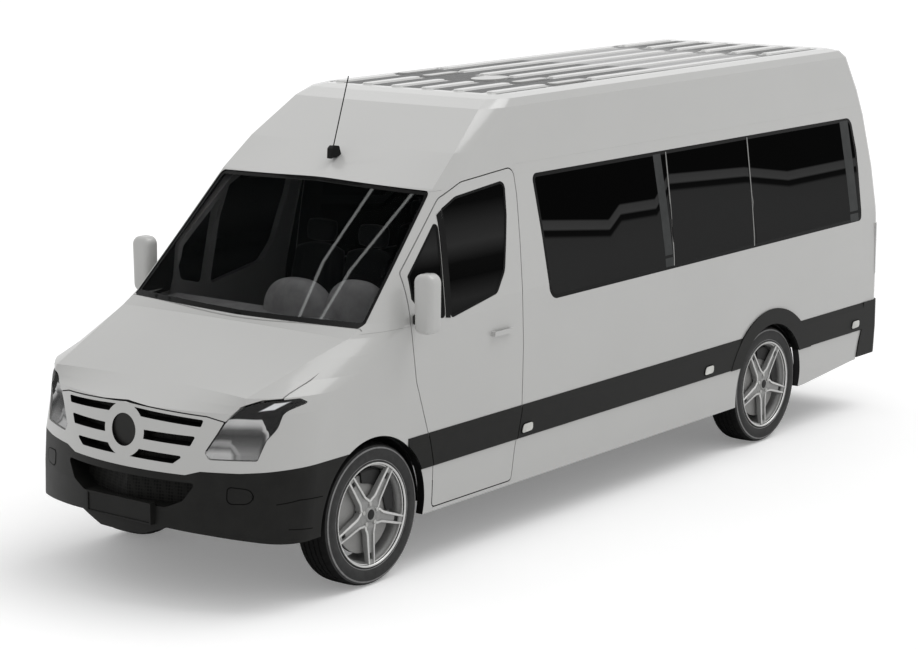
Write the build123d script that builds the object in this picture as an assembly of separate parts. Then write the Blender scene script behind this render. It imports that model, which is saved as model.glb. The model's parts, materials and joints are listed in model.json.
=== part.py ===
from build123d import *
from collections import namedtuple
from math import acos, cos, hypot, pi, radians, sin, sqrt, tan
import os

os.makedirs("parts", exist_ok=True)

# Long-wheelbase high-roof minibus.  Millimetres, +Z up, the front faces -Y, the driver's side is +X.
# While a piece is drawn, y counts back from the front axle; write() moves each one so that the origin
# lies on the ground under the middle of the whole length.

# ---- driving dimensions -------------------------------------------------------------------------
WHEELBASE = 4325.0
FRONT_OVERHANG = 1045.0   # front axle to the plate holder, the foremost point
REAR_OVERHANG = 1616.0    # rear axle to the rear bumper, the rearmost point
WALL = 52.0               # whole thickness of a side, roof or door
LID_WALL = 30.0           # hood thickness
SEAM = 7.0                # gap round a door or lid at the outer skin
EDGE_BACK = 16.0          # how much further a door's inner edge stands back than its outer edge
SEAT_GAP = 0.3            # clearance of pieces that seat on each other
GLASS = 5.0               # pane thickness
GLASS_SET = 5.0           # how far a framed pane lies under the skin
REBATE = 1.0              # how far a bonded pane lies under the skin

TRACK = 1710.0
TYRE_R = 413.0
TYRE_WIDTH = 235.0
RIM_LIP_R = 303.0
BEAD_R = 288.0
BARREL_WALL = 16.0
SPINDLE_R = 27.0
RUNNING = 0.1             # radial clearance of a turning shaft
KINGPIN_X = 800.0
KINGPIN_R = 14.0

FRONT_ARCH_R = 456.0
REAR_ARCH_R = 438.0
SURROUND_R = 597.0        # outer edge of the rear arch surround
SURROUND_DROP = 58.0      # its centre lies this far under the hub
SILL_Z = 322.0
BAND_TOP = 803.0
BAND_BOTTOM = 598.0
BAND_PROUD = 9.0
SIDE_X = 994.0            # widest half width of the body

FLOOR_TOP = 640.0
FLOOR_THICK = 30.0
BULKHEAD_Y = 125.0
ROOF_SEAM_Z = 2250.0

# ---- body form ----------------------------------------------------------------------------------
# Level sections of the outer skin, lowest first.  Each one is closed by arcs and lines:
#   front_y   foremost point on the centre line
#   corner_*  where the front arc meets the corner arc
#   side_*    where the corner arc runs into the straight side
#   tail_y    rearmost point on the centre line
#   rise      how much higher the section lies at the tail than at the front
Row = namedtuple("Row", "z front_y corner_x corner_y side_x side_y tail_y rise")
BODY_ROWS = [
    Row(SILL_Z, -1035, 845, -800, 978, -560, 5915, 0),
    Row(413, -1035, 845, -800, 985, -560, 5925, 0),
    Row(600, -1028, 845, -796, SIDE_X, -530, 5925, 0),
    Row(800, -1003, 845, -783, SIDE_X, -500, 5925, 0),
    Row(1000, -985, 800, -770, 993, -440, 5928, 0),
    Row(1109, -970, 765, -790, 992, -400, 5930, 0),
    Row(1150, -857, 748, -800, 992, -370, 5930, 0),
    Row(1197, -728, 740, -785, 991, -330, 5930, 0),
    Row(1261, -552, 775, -600, 989, -120, 5931, 0),
    Row(1350, -307, 829, -345, 986, 60, 5932, 0),
    Row(1432, -85, 880, -105, 983, 240, 5933, 0),
    Row(1500, -20, 900, 36, 977, 340, 5934, 0),
    Row(1800, 284, 867, 345, 930, 590, 5934, 0),
    Row(2180, 668, 825, 730, 860, 930, 5905, 0),
    Row(2363, 945, 800, 965, 832, 1180, 5850, 6),
    Row(2590, 1280, 728, 1300, 800, 1500, 5730, 27),
    Row(2638, 1408, 690, 1420, 775, 1580, 5670, 27),
    Row(2656, 1488, 640, 1500, 720, 1640, 5590, 27),
]
TAIL_RADIUS = 110.0       # rear corners seen from above
TAIL_BOW = 14.0           # how far the tail bulges over its own corners


def tangent_corner(start, end):
    """Middle of the arc that leaves `end` along Y and passes through `start`."""
    dx = end[0] - start[0]
    dy = end[1] - start[1]
    radius = (dx * dx + dy * dy) / (2 * dx)
    half_turn = acos((radius - dx) / radius) / 2
    return (end[0] - radius + radius * cos(half_turn), end[1] - radius * sin(half_turn))


def section(row, front_in, side_in, tail_in, z, straight):
    """Closed wire of one level, drawn in by the three amounts; lines stand in for its arcs if asked."""
    front = row.front_y + front_in
    corner = (row.corner_x - side_in, row.corner_y + front_in)
    side = (row.side_x - side_in, row.side_y + front_in)
    tail = row.tail_y - tail_in
    rear_side = (side[0], tail - TAIL_RADIUS)
    rear_corner = (side[0] - TAIL_RADIUS + TAIL_BOW, tail - TAIL_BOW)

    def at(x, y):
        return (x, y, z + row.rise * (y - side[1]) / (tail - side[1]))

    if straight:
        half = [(0, front), corner, side, rear_side, rear_corner]
        other_half = [(-x, y) for x, y in reversed(half[1:])]
        return Wire(Polyline([at(x, y) for x, y in half + other_half], close=True).edges())
    mid = tangent_corner(corner, side)
    back = TAIL_RADIUS * (1 - sqrt(0.5)) * 0.97
    edges = [ThreePointArc(at(-corner[0], corner[1]), at(0, front), at(*corner))]
    edges.append(ThreePointArc(at(*corner), at(*mid), at(*side)))
    edges.append(Line(at(*side), at(*rear_side)))
    edges.append(ThreePointArc(at(*rear_side), at(side[0] - back, tail - back), at(*rear_corner)))
    edges.append(ThreePointArc(at(*rear_corner), at(0, tail), at(-rear_corner[0], rear_corner[1])))
    edges.append(ThreePointArc(at(-rear_corner[0], rear_corner[1]), at(-side[0] + back, tail - back),
                               at(-rear_side[0], rear_side[1])))
    edges.append(Line(at(-rear_side[0], rear_side[1]), at(-side[0], side[1])))
    edges.append(ThreePointArc(at(-side[0], side[1]), at(-mid[0], mid[1]), at(-corner[0], corner[1])))
    return Wire(edges)


def slope(low, high, name):
    return (getattr(high, name) - getattr(low, name)) / (high.z - low.z)


def body_form(inset, straight=False):
    """The body's outer skin, or the same skin drawn in by `inset` at right angles to itself.

    The lining is straight between the ends of the skin's arcs, so the wall is thicker there."""
    wires = []
    last = len(BODY_ROWS) - 1
    for i, row in enumerate(BODY_ROWS):
        low = BODY_ROWS[max(i - 1, 0)]
        high = BODY_ROWS[min(i + 1, last)]
        front_in = inset * hypot(1, slope(low, high, "front_y"))
        side_in = inset * hypot(1, slope(low, high, "side_x"))
        tail_in = inset * hypot(1, slope(low, high, "tail_y"))
        z = row.z
        if i == 0:
            z = row.z - inset
        if i == last:
            z = row.z - inset
        wires.append(section(row, front_in, side_in, tail_in, z, straight))
    return Solid.make_loft(wires, ruled=True)


# ---- outlines and prisms ------------------------------------------------------------------------
def area(points):
    return sum(points[i - 1][0] * p[1] - p[0] * points[i - 1][1] for i, p in enumerate(points)) / 2


def moved_in(points, gap):
    """The (a, b, radius) outline with every side moved in by `gap`, out where it is negative."""
    turn = 1 if area(points) > 0 else -1
    count = len(points)
    lines = []
    for i, point in enumerate(points):
        after = points[(i + 1) % count]
        da, db = after[0] - point[0], after[1] - point[1]
        size = hypot(da, db)
        na, nb = -db / size * turn, da / size * turn
        lines.append((point[0] + na * gap, point[1] + nb * gap, da, db))
    result = []
    for i, point in enumerate(points):
        a0, b0, da0, db0 = lines[i - 1]
        a1, b1, da1, db1 = lines[i]
        cross = da0 * db1 - db0 * da1
        step = ((a1 - a0) * db1 - (b1 - b0) * da1) / cross
        convex = cross * turn > 0
        radius = point[2] - gap if convex else point[2] + gap
        result.append((a0 + da0 * step, b0 + db0 * step, max(radius, 0) if point[2] else 0))
    return result


def wire_of(points, place):
    """Closed wire of an (a, b, radius) outline; place(a, b) puts a point in space."""
    count = len(points)
    stops = []
    for i, (a, b, radius) in enumerate(points):
        before, after = points[i - 1], points[(i + 1) % count]
        ua, ub = before[0] - a, before[1] - b
        va, vb = after[0] - a, after[1] - b
        ul, vl = hypot(ua, ub), hypot(va, vb)
        if radius <= 0.01:
            stops.append(((a, b), None, (a, b)))
            continue
        ua, ub, va, vb = ua / ul, ub / ul, va / vl, vb / vl
        half = acos(max(-1, min(1, ua * va + ub * vb))) / 2
        reach = radius / tan(half)
        ba, bb = ua + va, ub + vb
        size = hypot(ba, bb)
        centre_off = radius / sin(half)
        mid_off = centre_off - radius
        stops.append(((a + ua * reach, b + ub * reach), (a + ba / size * mid_off, b + bb / size * mid_off),
                      (a + va * reach, b + vb * reach)))
    edges = []
    for i, (start, mid, end) in enumerate(stops):
        if mid is not None:
            edges.append(ThreePointArc(place(*start), place(*mid), place(*end)))
        following = stops[(i + 1) % count][0]
        if hypot(following[0] - end[0], following[1] - end[1]) > 0.01:
            edges.append(Line(place(*end), place(*following)))
    return Wire(edges)


def prism_x(points, x0, x1):
    """A side-view (y, z, radius) outline carried from x0 to x1."""
    face = Face(wire_of(points, lambda a, b: (x0, a, b)))
    return Solid.extrude(face, Vector(x1 - x0, 0, 0))


def prism_y(points, y0, y1):
    """A front-view (x, z, radius) outline carried from y0 to y1."""
    face = Face(wire_of(points, lambda a, b: (a, y0, b)))
    return Solid.extrude(face, Vector(0, y1 - y0, 0))


def prism_z(points, z0, z1):
    """A plan-view (x, y, radius) outline carried from z0 to z1."""
    face = Face(wire_of(points, lambda a, b: (a, b, z0)))
    return Solid.extrude(face, Vector(0, 0, z1 - z0))


def block(x0, x1, y0, y1, z0, z1):
    return Solid.make_box(x1 - x0, y1 - y0, z1 - z0).moved(Location((x0, y0, z0)))


def mirrored(shape):
    return shape.mirror(Plane.YZ)


def tube_x(centre, radius, x0, x1):
    return Solid.make_cylinder(radius, x1 - x0, Plane(origin=(x0, centre[0], centre[1]), z_dir=(1, 0, 0)))


def tube_z(centre, radius, z0, z1):
    return Solid.make_cylinder(radius, z1 - z0, Plane(origin=(centre[0], centre[1], z0), z_dir=(0, 0, 1)))


def many_sided(radius, sides, centre=(0, 0)):
    """Regular outline with corners at the radius, one of them straight up."""
    turns = [2 * pi * k / sides for k in range(sides)]
    return [(centre[0] + radius * sin(t), centre[1] + radius * cos(t), 0) for t in turns]


def turned(profile, sides):
    """Ring about the X axis from a closed (along, radius) outline, in flat facets."""
    faces = []
    for k in range(sides):
        here, there = 2 * pi * k / sides, 2 * pi * (k + 1) / sides
        for (a0, r0), (a1, r1) in zip(profile, profile[1:] + profile[:1]):
            corners = [(a0, r0 * sin(here), r0 * cos(here)), (a1, r1 * sin(here), r1 * cos(here)),
                       (a1, r1 * sin(there), r1 * cos(there)), (a0, r0 * sin(there), r0 * cos(there))]
            faces.append(Face(Wire(Polyline(corners, close=True).edges())))
    return Solid(Shell(faces))


SHIFT_Y = (FRONT_OVERHANG - WHEELBASE - REAR_OVERHANG) / 2


def write(name, *solids):
    """Write one node; its solids don't touch."""
    parts = []
    for solid in solids:
        parts.extend(solid.solids())
    shape = parts[0] if len(parts) == 1 else Compound(parts)
    export_step(shape.moved(Location((0, SHIFT_Y, 0))), f"parts/{name}.step")


# ---- outlines of doors, lids and windows --------------------------------------------------------
# side view, (y, z, corner radius)
DOOR = [
    (522, 352, 25), (520, 597, 60), (478, 800, 80), (372, 1130, 200), (336, 1480, 60), (341, 1745, 30),
    (745, 2122, 120), (952, 2196, 200), (1474, 2234, 55), (1474, 2067, 400), (1402, 1446, 400),
    (1400, 1171, 300), (1385, 800, 200), (1315, 555, 200), (1291, 352, 25),
]
DOOR_PANE = [
    (745, 2067, 20), (880, 2124, 150), (1380, 2170, 45), (1352, 1960, 300), (1265, 1640, 130),
    (1165, 1520, 60), (700, 1438, 25),
]
QUARTER_PANE = [(366, 1600, 15), (378, 1726, 20), (697, 2027, 25), (652, 1446, 25), (440, 1500, 60)]
WINDOW_BAND = [(1655, 2177, 45), (5640, 2177, 70), (5665, 1937, 300), (5632, 1425, 40), (1690, 1405, 80)]
PILLAR_Y = (2990, 3118)   # body pillar behind the first pane joint
JOINTS_Y = (3108, 4137)   # joints between the three panes
JOINT_GAP = 6.0
FRAME_LAP = 26.0          # how far a bonded pane laps over the body

# front view, (x, z, corner radius)
WINDSHIELD = [
    (-898, 1476, 30), (-818, 2168, 35), (0, 2192, 4000), (818, 2168, 35), (898, 1476, 30), (0, 1462, 4000),
]
LAMP = [
    (540, 892, 10), (636, 1058, 60), (714, 1142, 120), (812, 1181, 150), (938, 1187, 12), (962, 1162, 8),
    (903, 1122, 60), (886, 1035, 120), (846, 972, 60), (815, 860, 15), (560, 853, 25),
]
BUMPER_TOP = [(0, 757), (430, 757), (518, 784), (735, 789), (845, 800), (1010, 818)]
BUMPER_FOOT = [(0, 394), (160, 394), (330, 452), (585, 433), (1010, 392)]
GRILLE_SIDE = [(632, 1058), (545, 900), (487, 858), (430, 757)]
HOOD_FRONT = [(0, 1118), (540, 1090), (640, 1066), (714, 1150), (812, 1189), (905, 1194)]
INTAKE = [(-497, 716, 15), (497, 716, 15), (425, 612, 60), (318, 566, 20), (-318, 566, 20), (-425, 612, 60)]
SLOTS = [                 # outer end high, outer end low, top, foot of the left half of each grille slot
    ((522, 1066), (508, 1026), 1096, 1052),
    ((480, 972), (452, 917), 978, 928),
    ((414, 858), (352, 812), 868, 816),
]
RING_R = 152.0
RING_Z = 957.0

# plan view, (x, y)
HOOD_SIDE = [(908, -12), (926, -134), (884, -600), (880, -1200)]


def sharp(points):
    return [(p[0], p[1], 0) for p in points]


def across(half):
    """A line from the left end to the right end, from its right half, which starts at the middle."""
    return [(-a, b) for a, b in reversed(half) if a > 0] + list(half)


def region_y(half, y0, y1, limit):
    """Front-view region between a centred line and the level `limit`."""
    line = across(half)
    end = line[-1][0]
    points = line + [(end, limit), (-end, limit)]
    return prism_y(sharp(points), y0, y1)


# ---- the shell and its zones --------------------------------------------------------------------
FLANGE = 12.0             # thickness of a door's outer lip
GRILLE_DEPTH = 36.0

outer = body_form(0)
inner = body_form(WALL, straight=True)
flat_outer = body_form(0, straight=True)
shell = outer - inner
under_flange = body_form(FLANGE)
set_sheet = body_form(GLASS_SET) - body_form(GLASS_SET + GLASS)
bonded_sheet = body_form(REBATE) - body_form(REBATE + GLASS)
rebate_floor = body_form(REBATE + GLASS + SEAT_GAP)
near_skin = body_form(-SEAT_GAP)
hood_skin = outer - flat_outer.moved(Location((0, LID_WALL, -LID_WALL)))
grille_skin = outer - flat_outer.moved(Location((0, GRILLE_DEPTH, 0)))

door_cut = prism_x(moved_in(DOOR, -SEAM), 500, 1200)

front_arch = tube_x((-10, TYRE_R + 2), FRONT_ARCH_R, 480, 1200)
rear_arch = tube_x((WHEELBASE + 10, TYRE_R - 5), REAR_ARCH_R, 700, 1200)
arches = [front_arch, mirrored(front_arch), rear_arch, mirrored(rear_arch)]

hood_plan = [(x, y, 0) for x, y in HOOD_SIDE] + [(-x, y, 0) for x, y in reversed(HOOD_SIDE)]
hood_plan.append((0, -86, 5200))
hood_zone = prism_z(hood_plan, 900, 1700) & region_y(HOOD_FRONT, -1400, 100, 1800)
lower_front = [(x, z - SEAM) for x, z in HOOD_FRONT]
hood_cut = prism_z(moved_in(hood_plan, -SEAM), 900, 1700) & region_y(lower_front, -1400, 100, 1800)

windshield_cut = prism_y(WINDSHIELD, -300, 1000)
lamp_cut = prism_y(moved_in(LAMP, -2), -1200, -500)
bumper_region = region_y(BUMPER_TOP, -1300, -200, 100)
grille_half = [(0, 757)] + [(x, z) for x, z in reversed(GRILLE_SIDE)]
grille_zone = prism_y(sharp(across(grille_half) + [(-640, 1200), (640, 1200)][::-1]), -1200, -700)

# ---- roof ---------------------------------------------------------------------------------------
roof_zone = prism_x(sharp([
    (300, 2168), (790, 2168), (790, 2100), (1478, 2100), (1478, ROOF_SEAM_Z), (6600, ROOF_SEAM_Z),
    (6600, 3000), (300, 3000)]), -1300, 1300)
roof = (shell & roof_zone) - windshield_cut - door_cut - mirrored(door_cut)

RIB_PROUD = 10.0
RIB_TAPER = 14.0          # how much smaller a rib's top is than its foot, all round
RIBS_X = (120.0, 362.0, 604.0)
RIB_HALF = 46.0
RIB_SPANS = [             # (front end, rear end) of each rib along the roof, from the middle rib outwards
    [(1530, 2040), (2440, 4620), (4770, 5470)],
    [(1540, 2090), (2540, 4650), (4790, 5460)],
    [(1560, 2140), (2630, 4680), (4810, 5440)],
]
roof_top = BODY_ROWS[-1]


def roof_level(y):
    return roof_top.z + roof_top.rise * (y - roof_top.side_y) / (roof_top.tail_y - roof_top.side_y)


def rib(x, y0, y1):
    """Raised bead with sloping flanks and cut corners."""
    wires = []
    for shrink, up in ((0, -3), (RIB_TAPER, RIB_PROUD)):
        half, cut = RIB_HALF - shrink, (RIB_HALF - shrink) * 0.6
        low, high = y0 + shrink, y1 - shrink
        plan = [(half, low + cut), (half, high - cut), (half - cut, high), (cut - half, high), (-half, high - cut),
                (-half, low + cut), (cut - half, low), (half - cut, low)]
        wires.append(Wire(Polyline([(x + a, b, roof_level(b) + up) for a, b in plan], close=True).edges()))
    return Solid.make_loft(wires, ruled=True)


for x, spans in zip(RIBS_X, RIB_SPANS):
    for span in spans:
        bead = rib(x, *span)
        roof = roof + bead + mirrored(bead)
write("roof", roof)

# ---- cab frame: pillars, cowl and bulkhead ------------------------------------------------------
COWL_Z = (1380.0, 1424.0)
cab_zone = prism_x(sharp([(-300, 1452), (700, 1452), (790, 2100), (790, 2167), (300, 2167)]), -1300, 1300)
cab_zone = cab_zone + block(-880, 880, -130, 200, COWL_Z[0], 1500)
cab_frame = (shell & cab_zone) - windshield_cut - door_cut - mirrored(door_cut) - hood_cut
cab_frame = cab_frame + block(-880, 880, -50, BULKHEAD_Y + 25, *COWL_Z)
cab_frame = cab_frame + block(-880, 880, BULKHEAD_Y, BULKHEAD_Y + 25, FLOOR_TOP + SEAT_GAP, COWL_Z[0] + 5)
cab_frame = cab_frame - arches[0] - arches[1] - hood_cut
write("cab_frame", cab_frame)

# ---- sides --------------------------------------------------------------------------------------
SLIDING_DOOR = [(1500, 352, 40), (2893, 352, 40), (2893, 2212, 0), (1500, 2212, 0)]
BUMPER_SIDE = [(5600, 380), (5622, 500), (5676, 670), (5676, 803)]
REAR_DOOR = [(4, 500, 15), (796, 500, 30), (812, 806, 40), (866, 850, 40), (866, 1440, 300), (742, 2205, 90),
             (4, 2205, 15)]
side_zone = prism_x(sharp([
    (530, 250), (6600, 250), (6600, ROOF_SEAM_Z - SEAT_GAP), (1479, ROOF_SEAM_Z - SEAT_GAP), (1479, 2100),
    (1280, 2100), (1280, 345), (530, 345)]), 100, 1200)
rear_bumper_zone = prism_x(sharp([(6600, 300)] + [(6600, 803)] + BUMPER_SIDE[::-1] + [(5600, 300)]), -1300, 1300)
rear_door_cut = prism_y(moved_in(REAR_DOOR, -SEAM), 5400, 6200)
rear_door_cut = rear_door_cut + mirrored(rear_door_cut) + block(-20, 20, 5400, 6200, 493, 2212)
rear_step_cut = block(-840, 840, 5400, 6200, 300, 803)
tail_bevel = prism_x(sharp([(4774, 317), (4774, 200), (6200, 200), (6200, 395), (5540, 380)]), -1300, 1300)


def side_openings(pillar):
    """Openings through the wall behind the panes: the whole band less its laps and the pillar."""
    hole = prism_x(moved_in(WINDOW_BAND, FRAME_LAP), 500, 1200)
    return hole - block(400, 1300, pillar[0], pillar[1], 1200, 2400)


def panes(joints):
    """Bonded panes of one side, parted at the joints."""
    start = 1600.0
    result = []
    for joint in list(joints) + [5800.0]:
        span = block(500, 1200, start, joint - JOINT_GAP / 2, 1300, 2300)
        result.append(bonded_sheet & prism_x(moved_in(WINDOW_BAND, SEAT_GAP), 500, 1200) & span)
        start = joint + JOINT_GAP / 2
    return result


rebate = prism_x(WINDOW_BAND, 500, 1200) - rebate_floor
side_wall = (shell & side_zone) - door_cut - rear_arch - rear_door_cut - rear_step_cut - rear_bumper_zone
side_wall = side_wall - tail_bevel - rebate
LAMP_CENTRE = (880.0, 5820.0)  # of the rear corner's curve, seen from above
LAMP_Z = (1000.0, 1380.0)
LAMP_TURN = (9.0, 81.0)
LAMP_R = (96.0, 119.0)


def corner_ring(inner_r, outer_r, spare):
    """Plan outline of a lamp that follows the rear corner, `spare` degrees longer at each end."""
    turns = [radians(LAMP_TURN[0] - spare + (LAMP_TURN[1] - LAMP_TURN[0] + 2 * spare) * k / 5) for k in range(6)]
    out = [(LAMP_CENTRE[0] + outer_r * cos(t), LAMP_CENTRE[1] + outer_r * sin(t), 0) for t in turns]
    back = [(LAMP_CENTRE[0] + inner_r * cos(t), LAMP_CENTRE[1] + inner_r * sin(t), 0) for t in reversed(turns)]
    return out + back


side_wall = side_wall - prism_z(corner_ring(LAMP_R[0] - SEAT_GAP, LAMP_R[1] + 30, 0.3),
                                LAMP_Z[0] - SEAT_GAP, LAMP_Z[1] + SEAT_GAP)
REAR_HINGE = (887.0, 5930.0)  # plan position of the rear door hinges
REAR_HINGES_Z = (920.0, 1440.0)
HINGE_R = 7.0
HINGE_HALF = 30.0
for z in REAR_HINGES_Z:
    low, high = z + HINGE_HALF + SEAT_GAP, z + 2 * HINGE_HALF
    bracket = block(REAR_HINGE[0], REAR_HINGE[0] + 18, REAR_HINGE[1] - 45, REAR_HINGE[1] + 6, low, high)
    side_wall = side_wall + bracket + tube_z(REAR_HINGE, HINGE_R, low, high)
side_left = side_wall - side_openings(PILLAR_Y)
write("side_left", side_left)

RIGHT_PILLAR_Y = (2800.0, 2990.0)
RIGHT_JOINTS_Y = (2893.0, 4137.0)
side_right = side_wall - side_openings(RIGHT_PILLAR_Y)
sliding_cut = prism_x(moved_in(SLIDING_DOOR, -SEAM), 500, 1200)
sliding = side_right & prism_x(SLIDING_DOOR, 500, 1200)
write("side_right", mirrored(side_right - sliding_cut))
write("sliding_door", mirrored(sliding))
write("side_glass", *panes(JOINTS_Y), *[mirrored(p) for p in panes(RIGHT_JOINTS_Y)])

# ---- front doors --------------------------------------------------------------------------------
DOOR_REACH = WALL + 45.0  # how far in from the side a door may reach round the pillar's corner
inner_limit = [(400, 300)] + [(row.side_x - DOOR_REACH, row.z) for row in BODY_ROWS[:15]] + [(400, 2363)]
inner_limit = prism_y(sharp(inner_limit), 100, 1600)
door = (shell & prism_x(DOOR, 500, 1200)) - inner_limit
# The inner part of the rear edge stands back, so that it swings clear of the post.
edge_strip = prism_x(sharp([(1403, 1560), (1520, 1560), (1520, 2300), (1462, 2300), (1462, 2067)]), 700, 980)
under_edge = prism_y(sharp([(700, 1560), (953, 1560), (916, 1800), (846, 2180), (827, 2300), (700, 2300)]),
                     1390, 1530)
door = door - (edge_strip & under_edge)
LATCH_GAP = 0.8           # clearance of the shut door's latch bolt
door = door + block(974, 984, 1380, 1404.5 - LATCH_GAP, 1090, 1130)
for pane in (DOOR_PANE, QUARTER_PANE):
    door = door - prism_x(pane, 500, 1200)
HANDLE_Z = 1288.0
handle = block(SIDE_X - 12, SIDE_X + 24, 1086, 1272, HANDLE_Z - 14, HANDLE_Z + 14)
handle = handle - block(SIDE_X - 3, SIDE_X + 12, 1112, 1246, HANDLE_Z - 20, HANDLE_Z + 20)
door = door + handle
write("door_left", door)
write("door_right", mirrored(door))
door_glass = [set_sheet & prism_x(moved_in(p, SEAT_GAP), 500, 1200) for p in (DOOR_PANE, QUARTER_PANE)]
write("door_glass_left", *door_glass)
write("door_glass_right", *[mirrored(p) for p in door_glass])

# ---- mirrors ------------------------------------------------------------------------------------
MIRROR = [(1050, 1428, 40), (1180, 1420, 50), (1186, 1776, 55), (1044, 1766, 50)]
MIRROR_Y = (262.0, 368.0)
mirror_head = prism_y(MIRROR, *MIRROR_Y)
mirror_arm = prism_y(sharp([(950, 1450), (1080, 1456), (1080, 1520), (950, 1560)]), 352, 392)
mirror_foot = prism_x([(352, 1450, 15), (352, 1560, 20), (430, 1500, 15), (430, 1450, 15)], 940, 1000)

mirror = mirror_head + mirror_arm + mirror_foot
mirror = mirror - near_skin
mirror = max(mirror.solids(), key=lambda piece: piece.volume)
write("mirror_left", mirror)
write("mirror_right", mirrored(mirror))

# ---- windshield ---------------------------------------------------------------------------------
write("windshield", set_sheet & prism_y(moved_in(WINDSHIELD, SEAT_GAP), -300, 1000))

# ---- hood, grille, headlamps, fenders -----------------------------------------------------------
write("hood", hood_skin & hood_zone)

slot_cuts = []
for outer_high, outer_low, top, foot in SLOTS:
    half = [(outer_high[0], outer_high[1], 8), (0, top, 0), (0, foot, 0), (outer_low[0], outer_low[1], 12)]
    slot_cuts.append(prism_y(half, -1200, -700))
    slot_cuts.append(mirrored(slot_cuts[-1]))
RING_HOLE_R = 92.0
RING_SIDES = 40
DISC_Y = (-974.0, -961.5)
ring = prism_y(many_sided(RING_R, RING_SIDES, (0, RING_Z)), -1200, -700)
ring_skin = grille_skin & ring
grille = (grille_skin & grille_zone) - hood_cut - lamp_cut - mirrored(lamp_cut)
for cut in slot_cuts:
    grille = grille - cut
grille = grille + ring_skin
grille = grille - prism_y(many_sided(RING_HOLE_R, RING_SIDES, (0, RING_Z)), -1200, -700)
emblem_disc = prism_y(many_sided(RING_HOLE_R - SEAT_GAP, RING_SIDES, (0, RING_Z)), *DISC_Y)
write("grille", max(grille.solids(), key=lambda piece: piece.volume))

BACK_GAP = GRILLE_DEPTH + SEAT_GAP
backing = flat_outer.moved(Location((0, BACK_GAP, 0))) - flat_outer.moved(Location((0, BACK_GAP + 14, 0)))
backing = backing & prism_y(sharp([(-530, 1080), (-500, 900), (-400, 790), (400, 790), (500, 900), (530, 1080)]),
                            -1200, -700)
write("grille_backing", backing - hood_cut)
write("grille_disc", emblem_disc)

LAMP_DEPTH = 70.0
lamp_skin = outer - flat_outer.moved(Location((-LAMP_DEPTH * 0.5, LAMP_DEPTH, -10)))
lamp = lamp_skin & prism_y(LAMP, -1200, -500)
lamp = max(lamp.solids(), key=lambda piece: piece.volume)
write("headlamps", lamp, mirrored(lamp))

fender_zone = prism_x(sharp([(-1300, 700), (-200, 700), (-200, 250), (529, 250), (529, 1451), (-1300, 1451)]),
                      100, 1200)
fender = (shell & fender_zone) - bumper_region - grille_zone - hood_cut - lamp_cut - door_cut - front_arch
fender = fender - block(-880, 880, -130, 300, COWL_Z[0] - SEAT_GAP, 1600)
fender = max(fender.solids(), key=lambda piece: piece.volume)
write("fender_left", fender)
write("fender_right", mirrored(fender))

# ---- bumpers ------------------------------------------------------------------------------------
lowered_top = [(x, z - SEAT_GAP) for x, z in BUMPER_TOP]
foot_region = region_y(BUMPER_FOOT, -1300, -100, 100)
bumper_zone = region_y(lowered_top, -1300, -200, 200)
bumper = (shell & bumper_zone) - foot_region - arches[0] - arches[1]
bumper = bumper - prism_y(INTAKE, -1300, -700)
PLATE = (250.0, 462.0, 584.0)
plate_holder = block(-PLATE[0], PLATE[0], -FRONT_OVERHANG, -1000, PLATE[1], PLATE[2])
plate_recess = block(-PLATE[0] + 10, PLATE[0] - 10, -FRONT_OVERHANG - 5, -FRONT_OVERHANG + 6,
                     PLATE[1] + 10, PLATE[2] - 10)
bumper = max(bumper.solids(), key=lambda piece: piece.volume)
bumper = (bumper + plate_holder) - plate_recess
write("bumper_front", bumper)

# ---- rear doors, rear bumper and lamps ----------------------------------------------------------
REAR_PANE = [(70, 1440, 40), (800, 1440, 60), (688, 2120, 60), (70, 2120, 40)]
rear_ring = prism_y(REAR_DOOR, 5400, 6200) - prism_y(moved_in(REAR_DOOR, EDGE_BACK), 5400, 6200)
rear_door = (shell & prism_y(REAR_DOOR, 5500, 6200)) - (rear_ring & under_flange)
rear_rebate = prism_y(REAR_PANE, 5500, 6200) - rebate_floor
rear_door = rear_door - rear_rebate - prism_y(moved_in(REAR_PANE, FRAME_LAP), 5400, 6200)
rear_door = max(rear_door.solids(), key=lambda piece: piece.volume)
HINGE_X, HINGE_Y = REAR_HINGE
for z in REAR_HINGES_Z:
    low, high = z - HINGE_HALF, z + HINGE_HALF
    rear_door = rear_door + block(HINGE_X - 62, HINGE_X - 31, HINGE_Y - 24, HINGE_Y, low, high)
    rear_door = rear_door + block(HINGE_X - 31, HINGE_X, HINGE_Y - 7, HINGE_Y, low, high)
    rear_door = rear_door + tube_z(REAR_HINGE, HINGE_R, low, high)
rear_pane = bonded_sheet & prism_y(moved_in(REAR_PANE, SEAT_GAP), 5500, 6200)
write("rear_door_left", rear_door)
write("rear_door_right", mirrored(rear_door))
write("rear_glass_left", rear_pane)
write("rear_glass_right", mirrored(rear_pane))

proud = body_form(-BAND_PROUD)
bumper_rear = (proud - inner) & rear_bumper_zone
bumper_rear = bumper_rear - block(-SIDE_X - 50, SIDE_X + 50, 5000, 6200, 200, 398)
bumper_rear = bumper_rear - block(-804, 804, 5500, 6200, 488, 900)
bumper_rear = bumper_rear - rear_door_cut
bumper_rear = bumper_rear + block(-700, 700, 5880, WHEELBASE + REAR_OVERHANG, 430, 488)
write("bumper_rear", bumper_rear)
tail_lamp = prism_z(corner_ring(*LAMP_R, 0), *LAMP_Z)
write("tail_lamps", tail_lamp, mirrored(tail_lamp))

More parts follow.
